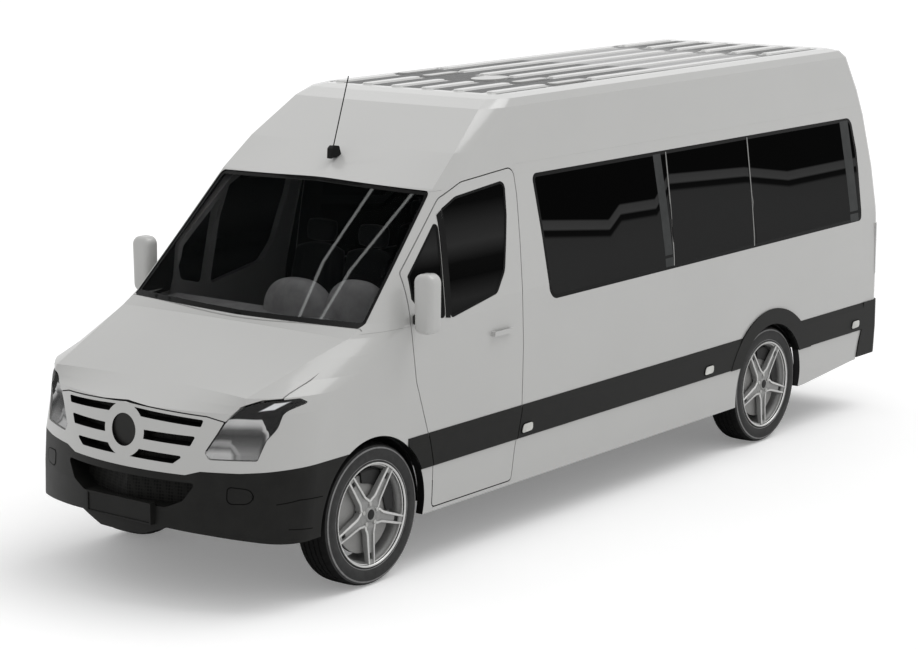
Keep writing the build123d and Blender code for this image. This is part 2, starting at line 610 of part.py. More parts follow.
# ---- side mouldings and markers -----------------------------------------------------------------
band = prism_y(sharp([
    (SIDE_X + SEAT_GAP, BAND_BOTTOM), (SIDE_X + BAND_PROUD, BAND_BOTTOM + 6), (SIDE_X + BAND_PROUD, BAND_TOP - 42),
    (SIDE_X + 3, BAND_TOP), (SIDE_X + SEAT_GAP, BAND_TOP)]), 290, 5700)
surround = tube_x((WHEELBASE + 25, TYRE_R - SURROUND_DROP), SURROUND_R, SIDE_X + SEAT_GAP, SIDE_X + BAND_PROUD + 3)
surround = surround - block(500, 1200, 3000, 5700, -400, BAND_BOTTOM) - rear_arch
MARKERS_Y = (1440.0, 3523.0, 5560.0)
MARKER_Z = 664.0
marker_outline = [(-32, -22, 0), (32, -22, 0), (32, 22, 0), (-32, 22, 0)]
markers = []
marker_wells = []
for y in MARKERS_Y:
    at_y = [(a + y, b + MARKER_Z, r) for a, b, r in marker_outline]
    markers.append(prism_x(at_y, SIDE_X + SEAT_GAP, SIDE_X + BAND_PROUD + 4))
    marker_wells.append(prism_x(moved_in(at_y, -SEAT_GAP), SIDE_X - 50, SIDE_X + 50))
band_side = (band & block(900, 1200, 1330, 5700, 500, 900)) - door_cut - rear_bumper_zone
band_side = band_side + surround - rear_arch
for well in marker_wells:
    band_side = band_side - well
band_front = (band & block(900, 1200, 200, 560, 500, 900)) - door_cut - front_arch
band_door = band & prism_x(DOOR, 900, 1200)
fixed_bands = band_side.solids() + band_front.solids()
write("side_mouldings", *fixed_bands, *[mirrored(p) for p in fixed_bands])
write("door_moulding_left", band_door)
write("door_moulding_right", mirrored(band_door))
write("side_markers", *markers, *[mirrored(m) for m in markers])

# ---- wheels -------------------------------------------------------------------------------------
HUB_X = TRACK / 2
HALF_TYRE = TYRE_WIDTH / 2
TYRE_SIDES = 64
RIM_SIDES = 48
TYRE_PROFILE = [            # (outward, radius)
    (-92, BEAD_R + SEAT_GAP), (92, BEAD_R + SEAT_GAP), (103, 306), (HALF_TYRE, 348), (97, 403), (60, TYRE_R),
    (-60, TYRE_R), (-97, 403), (-HALF_TYRE, 348), (-103, 306)]
BARREL_PROFILE = [
    (-112, BEAD_R - BARREL_WALL), (100, BEAD_R - BARREL_WALL), (113, 290), (113, RIM_LIP_R), (94, BEAD_R),
    (-94, BEAD_R), (-112, RIM_LIP_R)]
DISH_X = (82.0, 104.0)      # back and front of the spoked face
DISH_R = 280.0
HUB_R = 62.0
CAP_BACK = 60.0             # where the bore ends behind the cap
DISC_R = 168.0
DISC_X = (-16.0, 12.0)
BORE = SPINDLE_R + RUNNING
SPOKES = 5
WINDOW = [(94, -10), (106, -25), (227, -133), (255, -68), (264, 0), (255, 68), (227, 133), (106, 25), (94, 10)]
SLOT = [(226, -7), (262, -9), (262, 9), (226, 7)]


def turned_outline(outline, degrees):
    c, s = cos(radians(degrees)), sin(radians(degrees))
    return [(a * c - b * s, a * s + b * c, 0) for a, b in outline]


rim_piece = prism_x(many_sided(DISH_R, RIM_SIDES), *DISH_X)
for k in range(SPOKES):
    spoke_turn = -90 + 360 / SPOKES * k
    rim_piece = rim_piece - prism_x(turned_outline(SLOT, spoke_turn), 50, 150)
    rim_piece = rim_piece - prism_x(turned_outline(WINDOW, spoke_turn + 180 / SPOKES), 50, 150)
rim_piece = rim_piece + prism_x(many_sided(HUB_R, 24), DISC_X[0], DISH_X[1])
rim_piece = rim_piece + prism_x(many_sided(DISC_R, RIM_SIDES), *DISC_X) + turned(BARREL_PROFILE, RIM_SIDES)
rim_piece = rim_piece - tube_x((0, 0), BORE, DISC_X[0] - 10, CAP_BACK)
tyre_piece = turned(TYRE_PROFILE, TYRE_SIDES)
for place, y in (("front", 0.0), ("rear", WHEELBASE)):
    seat = Location((HUB_X, y, TYRE_R))
    write(f"tyre_{place}_left", tyre_piece.moved(seat))
    write(f"tyre_{place}_right", mirrored(tyre_piece.moved(seat)))
    write(f"rim_{place}_left", rim_piece.moved(seat))
    write(f"rim_{place}_right", mirrored(rim_piece.moved(seat)))

# ---- knuckles, front axle -----------------------------------------------------------------------
LOWER_ARM_Z = 268.0
UPPER_ARM_Z = 552.0
ARM_THICK = 34.0
ARM_END = 24.0            # radius of an arm's outer end, about the pin
SPINDLE_TIP = 58.0        # how far a spindle reaches past the wheel's middle
CALIPER = [(96, -40, 0), (104, -92, 0), (206, -70, 0), (214, 60, 0), (160, 130, 0), (84, 76, 0)]
caliper = prism_x(CALIPER, -42, 40) - prism_x(many_sided(DISC_R + 7, 24), -22, 18)
caliper = caliper.moved(Location((HUB_X, 0, TYRE_R)))
bracket = block(KINGPIN_X - 14, HUB_X - 32, 20, 120, TYRE_R - 30, TYRE_R + 30)
stub = prism_x(many_sided(60, 24, (0, TYRE_R)), KINGPIN_X - 14, HUB_X - 22)
knuckle = tube_x((0, TYRE_R), SPINDLE_R, KINGPIN_X, HUB_X + SPINDLE_TIP) + stub
knuckle = knuckle + block(KINGPIN_X - 26, KINGPIN_X + 26, -34, 34, LOWER_ARM_Z + ARM_THICK / 2 + SEAT_GAP,
                          UPPER_ARM_Z - ARM_THICK / 2 - SEAT_GAP)
knuckle = knuckle + bracket + caliper
PIN_DEPTH = 40.0
lower_pin = (LOWER_ARM_Z, LOWER_ARM_Z + ARM_THICK / 2 + PIN_DEPTH - 2)
upper_pin = (UPPER_ARM_Z - ARM_THICK / 2 - PIN_DEPTH + 2, UPPER_ARM_Z)
knuckle = knuckle - tube_z((KINGPIN_X, 0), KINGPIN_R + RUNNING, lower_pin[0], lower_pin[1] + 2)
knuckle = knuckle - tube_z((KINGPIN_X, 0), KINGPIN_R + RUNNING, upper_pin[0] - 2, upper_pin[1])
write("knuckle_left", knuckle)
write("knuckle_right", mirrored(knuckle))

RAIL_X = (398.0, 462.0)
RAIL_Z = (450.0, FLOOR_TOP - FLOOR_THICK - SEAT_GAP)
subframe = block(-RAIL_X[1], RAIL_X[1], -70, 70, LOWER_ARM_Z - ARM_THICK / 2, LOWER_ARM_Z + ARM_THICK / 2)
for z in (LOWER_ARM_Z, UPPER_ARM_Z):
    arm = prism_z([(RAIL_X[1] + SEAT_GAP, -64, 0), (KINGPIN_X + 12, -ARM_END, 0), (KINGPIN_X + ARM_END, -12, 0),
                   (KINGPIN_X + ARM_END, 12, 0), (KINGPIN_X + 12, ARM_END, 0), (RAIL_X[1] + SEAT_GAP, 64, 0)],
                  z - ARM_THICK / 2, z + ARM_THICK / 2)
    pin = tube_z((KINGPIN_X, 0), KINGPIN_R, *(lower_pin if z == LOWER_ARM_Z else upper_pin))
    arm = arm + pin
    if z == LOWER_ARM_Z:
        arm = arm + block(RAIL_X[1] - 30, RAIL_X[1] + 40, -50, 50, z - ARM_THICK / 2, z + ARM_THICK / 2)
        subframe = subframe + arm + mirrored(arm)
    else:
        upper_arms = [arm, mirrored(arm)]
for x in (-430.0, 430.0):
    subframe = subframe + block(x - 32, x + 32, -64, 64, LOWER_ARM_Z, RAIL_Z[0] - SEAT_GAP)
write("front_axle", subframe, *upper_arms)

# ---- chassis, drive and rear axle ---------------------------------------------------------------
AXLE_TUBE_R = 46.0
RAIL_ENDS = (-770.0, 5790.0)
CROSS_Y = (-740.0, 900.0, 1900.0, 2900.0, 3560.0, 5050.0, 5760.0)
chassis = block(*RAIL_X, *RAIL_ENDS, *RAIL_Z) + block(-RAIL_X[1], -RAIL_X[0], *RAIL_ENDS, *RAIL_Z)
for y in CROSS_Y:
    chassis = chassis + block(-RAIL_X[0] - 5, RAIL_X[0] + 5, y - 30, y + 30, RAIL_Z[1] - 34, RAIL_Z[1])
chassis = chassis - block(-500, 500, WHEELBASE - 150, WHEELBASE + 150, 400, 520)
write("chassis", chassis)

ENGINE_Y = (-680.0, -60.0)
write("engine", block(-220, 220, *ENGINE_Y, 470, 1020))
GEARBOX_END = 560.0
write("gearbox", block(-130, 130, ENGINE_Y[1] + SEAT_GAP, GEARBOX_END, 360, 560))

NOSE = 230.0              # length of the differential's nose
hub_line = (WHEELBASE, TYRE_R)
rear_axle = prism_x(many_sided(AXLE_TUBE_R, 16, hub_line), -HUB_X + 60, HUB_X - 60)
rear_axle = rear_axle + tube_x(hub_line, SPINDLE_R, -HUB_X - SPINDLE_TIP, HUB_X + SPINDLE_TIP)
rear_axle = rear_axle + prism_x(many_sided(130, 20, hub_line), -90, 90)
rear_axle = rear_axle + prism_y(many_sided(60, 12, (0, TYRE_R)), WHEELBASE - NOSE, WHEELBASE)
SPRING_X = 560.0
SPRING_W = 35.0           # half the width of a leaf
SADDLE_FOOT = TYRE_R - AXLE_TUBE_R
for carrier in (
    caliper.moved(Location((0, WHEELBASE, 0))),
    block(HUB_X - 90, HUB_X - 32, WHEELBASE + 30, WHEELBASE + 120, TYRE_R - 30, TYRE_R + 30),
    prism_x(many_sided(60, 24, hub_line), HUB_X - 90, HUB_X - 22),
    block(SPRING_X - SPRING_W, SPRING_X + SPRING_W, WHEELBASE - 50, WHEELBASE + 50, SADDLE_FOOT, SADDLE_FOOT + 30),
):
    rear_axle = rear_axle + carrier + mirrored(carrier)
write("rear_axle", rear_axle)

SPRING_HALF = 640.0
LEAF_THICK = 26.0
SPRING_RISE = 96.0        # how far a spring's ends stand over its middle
spring_z = SADDLE_FOOT - SEAT_GAP - LEAF_THICK
leaf = prism_x([
    (-SPRING_HALF, SPRING_RISE, 0), (-80, 0, 400), (80, 0, 400), (SPRING_HALF, SPRING_RISE, 0),
    (SPRING_HALF, SPRING_RISE + 16, 0), (80, LEAF_THICK, 400), (-80, LEAF_THICK, 400),
    (-SPRING_HALF, SPRING_RISE + 16, 0)], -SPRING_W, SPRING_W)
shackle_top = RAIL_Z[1] - 40 - spring_z
for end in (-SPRING_HALF, SPRING_HALF):
    leaf = leaf + block(-SPRING_W, SPRING_W, end - 24, end + 24, SPRING_RISE + 2, shackle_top)
    leaf = leaf + block(RAIL_X[1] + SEAT_GAP - SPRING_X, -30, end - 24, end + 24, shackle_top - 60, shackle_top)
leaf = leaf.moved(Location((SPRING_X, WHEELBASE, spring_z)))
write("leaf_springs", leaf, mirrored(leaf))
write("propshaft", prism_y(many_sided(36, 16, (0, TYRE_R)), GEARBOX_END + SEAT_GAP, WHEELBASE - NOSE - SEAT_GAP))

TANK_Y = (1650.0, 2600.0)
write("fuel_tank", prism_y([(RAIL_X[1] + SEAT_GAP, 350, 40), (880, 350, 60), (880, 580, 40),
                            (RAIL_X[1] + SEAT_GAP, 580, 20)], *TANK_Y))
EXHAUST = (-600.0, 480.0) # x and height of the exhaust
exhaust = prism_y(many_sided(26, 12, EXHAUST), 640, 3660) + prism_y(many_sided(95, 20, EXHAUST), 2600, 3260)
for y in (700.0, 2000.0, 3060.0):
    exhaust = exhaust + block(EXHAUST[0], -RAIL_X[1] - SEAT_GAP, y, y + 30, EXHAUST[1] - 12, EXHAUST[1] + 12)
write("exhaust", exhaust)

# ---- floor and wheel liners ---------------------------------------------------------------------
cabin = body_form(WALL + SEAT_GAP, straight=True)
DOOR_SIDE_X = 926.0       # edge of the floor beside a front door
floor = cabin & block(-1000, 1000, BULKHEAD_Y + 25 + SEAT_GAP, 5900, FLOOR_TOP - FLOOR_THICK, FLOOR_TOP)
for arch in arches:
    floor = floor - arch
for x0, x1 in ((DOOR_SIDE_X, 1000), (-1000, -DOOR_SIDE_X)):
    floor = floor - block(x0, x1, 400, 1520, 500, 700)
write("floor", floor)

FRONT_LINER = (-10.0, TYRE_R + 2, FRONT_ARCH_R - SEAT_GAP, 484.0, 600.0)
REAR_LINER = (WHEELBASE + 10, TYRE_R - 5, REAR_ARCH_R - SEAT_GAP, 704.0, 480.0)
LINER_EDGE_X = 936.0
LINER_THICK = 6.0
LINER_SIDES = 44
liners = []
for y, z, radius, inboard, wall_foot in (FRONT_LINER, REAR_LINER):
    liner = prism_x(many_sided(radius, LINER_SIDES, (y, z)), inboard, LINER_EDGE_X)
    liner = liner - prism_x(many_sided(radius - LINER_THICK, LINER_SIDES, (y, z)), inboard + LINER_THICK, LINER_EDGE_X + 1)
    liner = liner - block(400, 1000, y - 600, y + 600, -200, z - 20)
    liner = liner - block(400, inboard + LINER_THICK + 2, y - radius + LINER_THICK, y + radius - LINER_THICK, 0, wall_foot)
    liners.extend([liner, mirrored(liner)])
write("wheel_liners", *liners)

# ---- cab and cabin fittings ---------------------------------------------------------------------
DASH_X = 860.0
DASH_BACK = BULKHEAD_Y + 25 + SEAT_GAP
dash = prism_x([(DASH_BACK, 1060, 0), (DASH_BACK, 1428, 0), (330, 1442, 30), (480, 1400, 40), (525, 1320, 30),
                (505, 1220, 30), (400, 1150, 40), (330, 1060, 20)], -DASH_X, DASH_X)
binnacle = prism_x([(260, 1400, 0), (300, 1496, 20), (440, 1516, 30), (500, 1440, 15), (500, 1360, 0)], 270, 590)
STEERING_PLANE = Plane(origin=(430, 650, 1465), x_dir=(1, 0, 0), z_dir=(0, cos(radians(40)), sin(radians(40))))
SHAFT_R = 12.0
COLUMN_TOP = -46.0        # below the steering wheel's rim plane
column = prism_z(many_sided(44, 20), COLUMN_TOP - 260, COLUMN_TOP)
column = column - Solid.make_cylinder(SHAFT_R + RUNNING, 62).moved(Location((0, 0, COLUMN_TOP - 62)))
write("dashboard", dash + binnacle + column.moved(STEERING_PLANE.location))

RIM_WHEEL_R = 186.0
rim_section = [(15 * sin(k * pi / 3), RIM_WHEEL_R + 15 * cos(k * pi / 3)) for k in range(6)]
steering = turned(rim_section, 36).rotate(Axis.Y, -90)
steering = steering + prism_z(many_sided(62, 24), COLUMN_TOP + 6, -6)
steering = steering + Solid.make_cylinder(SHAFT_R, 66).moved(Location((0, 0, COLUMN_TOP - 60)))
for angle in (8, 172, 235, 305):
    spoke = block(40, RIM_WHEEL_R - 4, -14, 14, -12, 0).moved(Location((0, 0, -6)))
    steering = steering + spoke.rotate(Axis.Z, angle)
write("steering_wheel", steering.moved(STEERING_PLANE.location))

CUSHION = [(0, 952), (12, 1086), (470, 1060), (470, 952)]
BACKREST = [(470 + SEAT_GAP, 1010), (470 + SEAT_GAP, 1070), (590, 1640), (678, 1640), (580, 1010)]
HEADREST = [(604, 1640 + SEAT_GAP), (622, 1790), (692, 1790), (672, 1640 + SEAT_GAP)]
PEDESTAL_TOP = 952 - SEAT_GAP
SEAT_GAP_X = 6.0          # between neighbouring seats
FRONT_SEATS = [(200, 700), (-430, 0), (-860, -430)]
DOUBLE_AND_SINGLE = [(30, 440), (440, 850), (-850, -440)]
CABIN_ROWS = [            # front edge of the cushions, the seats' (x from, x to), the pedestals' (x from, x to)
    (1850.0, DOUBLE_AND_SINGLE, [(90, 680), (-680, -470)]),
    (2650.0, DOUBLE_AND_SINGLE, [(90, 680), (-680, -470)]),
    (3450.0, DOUBLE_AND_SINGLE, [(90, 680), (-680, -470)]),
    (4250.0, DOUBLE_AND_SINGLE, [(90, 680), (-680, -470)]),
    (5050.0, [(-850, -425), (-425, 0), (0, 425), (425, 850)], [(60, 680), (-680, -60)]),
]
FRONT_ROW_Y = 800.0


def seat(y, x0, x1):
    """Cushion, back and headrest of one seat, from the side (y, z) outlines."""
    pieces = []
    for outline, narrower in ((CUSHION, 0), (BACKREST, 0), (HEADREST, 90)):
        placed = [(a + y, b, 0) for a, b in outline]
        pieces.append(prism_x(placed, x0 + SEAT_GAP_X / 2 + narrower, x1 - SEAT_GAP_X / 2 - narrower))
    return pieces


write("front_seats", *[piece for x0, x1 in FRONT_SEATS for piece in seat(FRONT_ROW_Y, x0, x1)])
write("cabin_seats", *[piece for y, seats, _ in CABIN_ROWS for x0, x1 in seats for piece in seat(y, x0, x1)])
pedestals = [block(x0, x1, FRONT_ROW_Y + 60, FRONT_ROW_Y + 440, FLOOR_TOP + SEAT_GAP, PEDESTAL_TOP)
             for x0, x1 in ((230, 670), (-820, -40))]
for y, _, feet in CABIN_ROWS:
    pedestals.extend(block(x0, x1, y + 90, y + 400, FLOOR_TOP + SEAT_GAP, PEDESTAL_TOP) for x0, x1 in feet)
write("seat_pedestals", *pedestals)

# ---- aerial and intake backing ------------------------------------------------------------------
aerial = prism_x([(775, 2290, 0), (779, 2350, 8), (800, 2366, 8), (850, 2362, 15), (870, 2300, 0)], -17, 17)
MAST = ((812.0, 2350.0), (961.0, 2771.0))
mast_run = (MAST[1][0] - MAST[0][0], MAST[1][1] - MAST[0][1])
mast_plane = Plane(origin=(0, *MAST[0]), z_dir=(0, *mast_run))
aerial = (aerial - near_skin) + Solid.make_cylinder(3.5, hypot(*mast_run), mast_plane)
write("aerial", aerial)

intake_back = (cabin - cabin.moved(Location((0, 12, 0)))) & prism_y(moved_in(INTAKE, -24), -1200, -800)
write("intake_backing", intake_back)
print("all nodes written")
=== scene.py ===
import json
import math

import bmesh
import bpy
from mathutils import Matrix, Vector
from mathutils.bvhtree import BVHTree


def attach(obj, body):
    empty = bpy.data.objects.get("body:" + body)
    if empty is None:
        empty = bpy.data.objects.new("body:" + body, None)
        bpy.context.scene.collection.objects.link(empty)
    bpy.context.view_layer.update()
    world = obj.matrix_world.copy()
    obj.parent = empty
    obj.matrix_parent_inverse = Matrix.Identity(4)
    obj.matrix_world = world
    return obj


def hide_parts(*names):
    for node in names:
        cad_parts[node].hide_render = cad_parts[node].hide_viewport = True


bl_info = {
    "name": "Minibus dressing",
    "version": (1, 0, 0),
    "blender": (4, 5, 0),
    "location": "3D View > Sidebar > Minibus",
    "description": "Tyres, wheels, lamps, seats and finishes of a long high-roof minibus",
    "category": "Object",
}

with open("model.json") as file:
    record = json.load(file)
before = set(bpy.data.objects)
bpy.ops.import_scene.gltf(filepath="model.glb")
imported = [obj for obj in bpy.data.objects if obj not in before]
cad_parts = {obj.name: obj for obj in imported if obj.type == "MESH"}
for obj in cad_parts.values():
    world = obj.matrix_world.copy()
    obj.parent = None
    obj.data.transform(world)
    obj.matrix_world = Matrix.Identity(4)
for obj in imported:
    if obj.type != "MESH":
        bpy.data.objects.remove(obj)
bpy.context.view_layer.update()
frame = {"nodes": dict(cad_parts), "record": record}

LEFT, RIGHT = 1, -1
SHIFT_MM = -2448            # the drawings measure y from the front axle, the frame from the middle
SHIFT = SHIFT_MM / 1000
AXLE_FRONT_Y = SHIFT
AXLE_REAR_Y = 1.877
HUB_X = 0.855
HUB_Z = 0.413
CORNERS = [(place, name, y, side) for place, y in (("front", AXLE_FRONT_Y), ("rear", AXLE_REAR_Y))
           for name, side in (("left", LEFT), ("right", RIGHT))]
ARCH_REACH = 0.53           # from a wheel's axis to just past the panels' inner edge
WALL_FACING = 0.4           # a panel's thickness faces sideways less than this
ARCH_WALL_BLACK = (0.006, 0.006, 0.006)


# ---- mesh helpers -------------------------------------------------------------------------------
def make_object(name, verts, faces, materials, indices=None, smooth=None):
    """Mesh object from lists; indices give each face's material, smooth is an angle in degrees."""
    mesh = bpy.data.meshes.new(name)
    mesh.from_pydata([tuple(v) for v in verts], [], faces)
    for material in materials:
        mesh.materials.append(material)
    if indices:
        mesh.polygons.foreach_set("material_index", indices)
    mesh.validate()
    obj = bpy.data.objects.new(name, mesh)
    bpy.context.scene.collection.objects.link(obj)
    if smooth is not None:
        smooth_by_angle(obj, smooth)
    return obj


def smooth_by_angle(obj, degrees):
    """Round shading, with hard edges where faces meet more steeply than the angle."""
    mesh = obj.data
    mesh.polygons.foreach_set("use_smooth", [True] * len(mesh.polygons))
    work = bmesh.new()
    work.from_mesh(mesh)
    limit = math.radians(degrees)
    for edge in work.edges:
        if len(edge.link_faces) == 2:
            edge.smooth = edge.calc_face_angle(0) < limit
    work.to_mesh(mesh)
    work.free()


def joined(name, objects):
    """One object from several, keeping their materials."""
    verts, faces, indices, materials = [], [], [], []
    for obj in objects:
        base = len(verts)
        verts.extend(obj.matrix_world @ v.co for v in obj.data.vertices)
        slots = []
        for material in obj.data.materials:
            if material not in materials:
                materials.append(material)
            slots.append(materials.index(material))
        for polygon in obj.data.polygons:
            faces.append([base + i for i in polygon.vertices])
            indices.append(slots[polygon.material_index] if slots else 0)
        mesh = obj.data
        bpy.data.objects.remove(obj)
        bpy.data.meshes.remove(mesh)
    return make_object(name, verts, faces, materials, indices, 35)


def lathe(name, profile, segments, materials, indices=None):
    """Solid turned about the X axis from an (x, radius) profile; indices give each band's material."""
    verts, faces, face_index = [], [], []
    for k in range(segments):
        turn = 2 * math.pi * k / segments
        verts.extend((x, r * math.cos(turn), r * math.sin(turn)) for x, r in profile)
    count = len(profile)
    for k in range(segments):
        here, there = k * count, (k + 1) % segments * count
        for j in range(count - 1):
            faces.append([here + j, here + j + 1, there + j + 1, there + j])
            face_index.append(indices[j] if indices else 0)
    return make_object(name, verts, faces, materials, face_index, 35)


def bevelled_box(name, low, high, bevel, material, segments=3):
    """Block with rounded edges between two corners."""
    work = bmesh.new()
    bmesh.ops.create_cube(work, size=1)
    size = [h - l for l, h in zip(low, high)]
    middle = [(h + l) / 2 for l, h in zip(low, high)]
    for v in work.verts:
        v.co = Vector([c * s + m for c, s, m in zip(v.co, size, middle)])
    bmesh.ops.bevel(work, geom=list(work.edges), offset=min([bevel] + [s * 0.49 for s in size]),
                    segments=segments, profile=0.5, affect="EDGES")
    return from_bmesh(name, work, material, 40)


def from_bmesh(name, work, material, smooth=35):
    mesh = bpy.data.meshes.new(name)
    work.to_mesh(mesh)
    work.free()
    mesh.materials.append(material)
    obj = bpy.data.objects.new(name, mesh)
    bpy.context.scene.collection.objects.link(obj)
    smooth_by_angle(obj, smooth)
    return obj


def metres(rows):
    """First two columns of a table in millimetres."""
    return [(row[0] / 1000, row[1] / 1000) for row in rows]


def ring_faces(rings, count):
    """Quads between rings of points, listed one ring after another."""
    faces = []
    for i in range(rings - 1):
        for j in range(count):
            a, b = i * count + j, i * count + (j + 1) % count
            faces.append([a, b, b + count, a + count])
    return faces


def bridge(work, rings):
    """Quads between each closed ring of vertices and the next."""
    count = len(rings[0])
    for a, b in zip(rings, rings[1:]):
        for k in range(count):
            work.faces.new((a[k], a[(k + 1) % count], b[(k + 1) % count], b[k]))


def placed(obj, x, y, z, side):
    """Move a piece built about the origin to its hub; the right side is its mirror image."""
    if side == RIGHT:
        obj.data.transform(Matrix.Scale(-1, 4, (1, 0, 0)))
        obj.data.flip_normals()
    obj.data.transform(Matrix.Translation((side * x, y, z)))
    return obj


# ---- materials ----------------------------------------------------------------------------------
def new_material(name):
    material = bpy.data.materials.new(name)
    material.use_nodes = True
    nodes = material.node_tree.nodes
    return material, nodes, material.node_tree.links, nodes["Principled BSDF"]


def noise_at(nodes, links, scale, detail=4.0, rough=0.5):
    """Noise texture in object space, in the row frame's metres."""
    coords = nodes.new("ShaderNodeTexCoord")
    noise = nodes.new("ShaderNodeTexNoise")
    noise.inputs["Scale"].default_value = scale
    noise.inputs["Detail"].default_value = detail
    noise.inputs["Roughness"].default_value = rough
    links.new(coords.outputs["Object"], noise.inputs["Vector"])
    return noise


def tinted(nodes, links, noise, dark, light, low=0.35, high=0.65, output="Fac"):
    """Colour that wanders between two tones with a texture."""
    ramp = nodes.new("ShaderNodeValToRGB")
    ramp.color_ramp.elements[0].position = low
    ramp.color_ramp.elements[0].color = (*dark, 1)
    ramp.color_ramp.elements[1].position = high
    ramp.color_ramp.elements[1].color = (*light, 1)
    links.new(noise.outputs[output], ramp.inputs["Fac"])
    return ramp.outputs["Color"]


def spread(nodes, links, noise, low, high):
    """Noise brought to a range, for roughness."""
    return mapped(nodes, links, noise.outputs["Fac"], 0.0, 1.0, low, high)


def axis_of(nodes, links, axis, mirrored=False):
    """One object-space coordinate, in metres; mirrored takes its size alone."""
    coords = nodes.new("ShaderNodeTexCoord")
    apart = nodes.new("ShaderNodeSeparateXYZ")
    links.new(coords.outputs["Object"], apart.inputs["Vector"])
    return calc(nodes, links, "ABSOLUTE", apart.outputs[axis]) if mirrored else apart.outputs[axis]


def facing(nodes, links, axis):
    """One axis of the way that the surface faces, in object space."""
    coords = nodes.new("ShaderNodeTexCoord")
    apart = nodes.new("ShaderNodeSeparateXYZ")
    links.new(coords.outputs["Normal"], apart.inputs["Vector"])
    return apart.outputs[axis]


def calc(nodes, links, operation, *values, kind="ShaderNodeMath", output="Value"):
    """Math node fed with numbers or sockets; kind and output make it one on vectors."""
    node = nodes.new(kind)
    node.operation = operation
    for socket, value in zip(node.inputs, values):
        if isinstance(value, (int, float, tuple)):
            socket.default_value = value
        else:
            links.new(value, socket)
    return node.outputs[output]


def mapped(nodes, links, value, from_low, from_high, to_low, to_high):
    """A value brought from one range to another, held at its ends."""
    span = nodes.new("ShaderNodeMapRange")
    ends = {"From Min": from_low, "From Max": from_high, "To Min": to_low, "To Max": to_high}
    for name, number in ends.items():
        span.inputs[name].default_value = number
    links.new(value, span.inputs["Value"])
    return span.outputs["Result"]


def stepped(nodes, links, value, stops):
    """Grey from a value through (position, grey) stops."""
    ramp = nodes.new("ShaderNodeValToRGB")
    elements = ramp.color_ramp.elements
    elements[0].position, elements[0].color = stops[0][0], (*[stops[0][1]] * 3, 1)
    elements[1].position, elements[1].color = stops[-1][0], (*[stops[-1][1]] * 3, 1)
    for position, grey in stops[1:-1]:
        elements.new(position).color = (grey, grey, grey, 1)
    links.new(value, ramp.inputs["Fac"])
    return ramp.outputs["Color"]


def mixed(nodes, links, factor, low, high):
    mix = nodes.new("ShaderNodeMix")
    mix.data_type = "RGBA"
    links.new(factor, mix.inputs["Factor"])
    for name, colour in (("A", low), ("B", high)):
        if isinstance(colour, tuple):
            mix.inputs[name].default_value = (*colour, 1)
        else:
            links.new(colour, mix.inputs[name])
    return mix.outputs["Result"]


def bumped(nodes, links, shader, height, strength, distance):
    bump = nodes.new("ShaderNodeBump")
    bump.inputs["Strength"].default_value = strength
    bump.inputs["Distance"].default_value = distance
    links.new(height, bump.inputs["Height"])
    links.new(bump.outputs["Normal"], shader.inputs["Normal"])


def dark_arches(nodes, links, colour):
    """Body colour, near-black on the panels' thickness round the wheels."""
    wall = calc(nodes, links, "LESS_THAN", calc(nodes, links, "ABSOLUTE", facing(nodes, links, "X")), WALL_FACING)
    along, height = axis_of(nodes, links, "Y"), axis_of(nodes, links, "Z")
    up = calc(nodes, links, "POWER", calc(nodes, links, "SUBTRACT", height, HUB_Z), 2.0)
    for axle in (AXLE_FRONT_Y, AXLE_REAR_Y):
        off = calc(nodes, links, "MULTIPLY_ADD", *[calc(nodes, links, "SUBTRACT", along, axle)] * 2, up)
        near = calc(nodes, links, "LESS_THAN", off, ARCH_REACH ** 2)
        colour = mixed(nodes, links, calc(nodes, links, "MULTIPLY", wall, near), colour, ARCH_WALL_BLACK)
    return colour


def paint(name, colour, roughness=0.32, coat=0.35):
    """Body paint: slight colour drift, fine orange peel and a clear coat."""
    material, nodes, links, shader = new_material(name)
    drift = noise_at(nodes, links, 1.7, 2)
    tone = tinted(nodes, links, drift, [c * 0.975 for c in colour], colour)
    links.new(dark_arches(nodes, links, tone), shader.inputs["Base Color"])
    links.new(spread(nodes, links, drift, roughness * 0.9, roughness * 1.1), shader.inputs["Roughness"])
    shader.inputs["Coat Weight"].default_value = coat
    shader.inputs["Coat Roughness"].default_value = 0.08
    peel = noise_at(nodes, links, 260, 2)
    bumped(nodes, links, shader, peel.outputs["Fac"], 0.03, 0.0004)
    return material


def plastic(name, colour, roughness=0.55, grain=0.35, scale=900, shine=0.25):
    """Moulded plastic with a fine grain and faint scuffing."""
    material, nodes, links, shader = new_material(name)
    scuff = noise_at(nodes, links, 9, 6, 0.6)
    links.new(tinted(nodes, links, scuff, [c * 0.82 for c in colour], [min(c * 1.15, 1) for c in colour]),
              shader.inputs["Base Color"])
    links.new(spread(nodes, links, scuff, roughness - 0.06, roughness + 0.08), shader.inputs["Roughness"])
    shader.inputs["Specular IOR Level"].default_value = shine
    pebble = noise_at(nodes, links, scale, 2)
    bumped(nodes, links, shader, pebble.outputs["Fac"], grain, 0.0003)
    return material


def metal(name, colour, roughness, streak=40.0, metallic=1.0):
    """Bare or silver-painted metal with fine cloudy polish."""
    material, nodes, links, shader = new_material(name)
    cloud = noise_at(nodes, links, streak, 5, 0.6)
    links.new(tinted(nodes, links, cloud, [c * 0.86 for c in colour], colour), shader.inputs["Base Color"])
    links.new(spread(nodes, links, cloud, roughness * 0.8, roughness * 1.25), shader.inputs["Roughness"])
    shader.inputs["Metallic"].default_value = metallic
    bumped(nodes, links, shader, cloud.outputs["Fac"], 0.04, 0.0005)
    return material


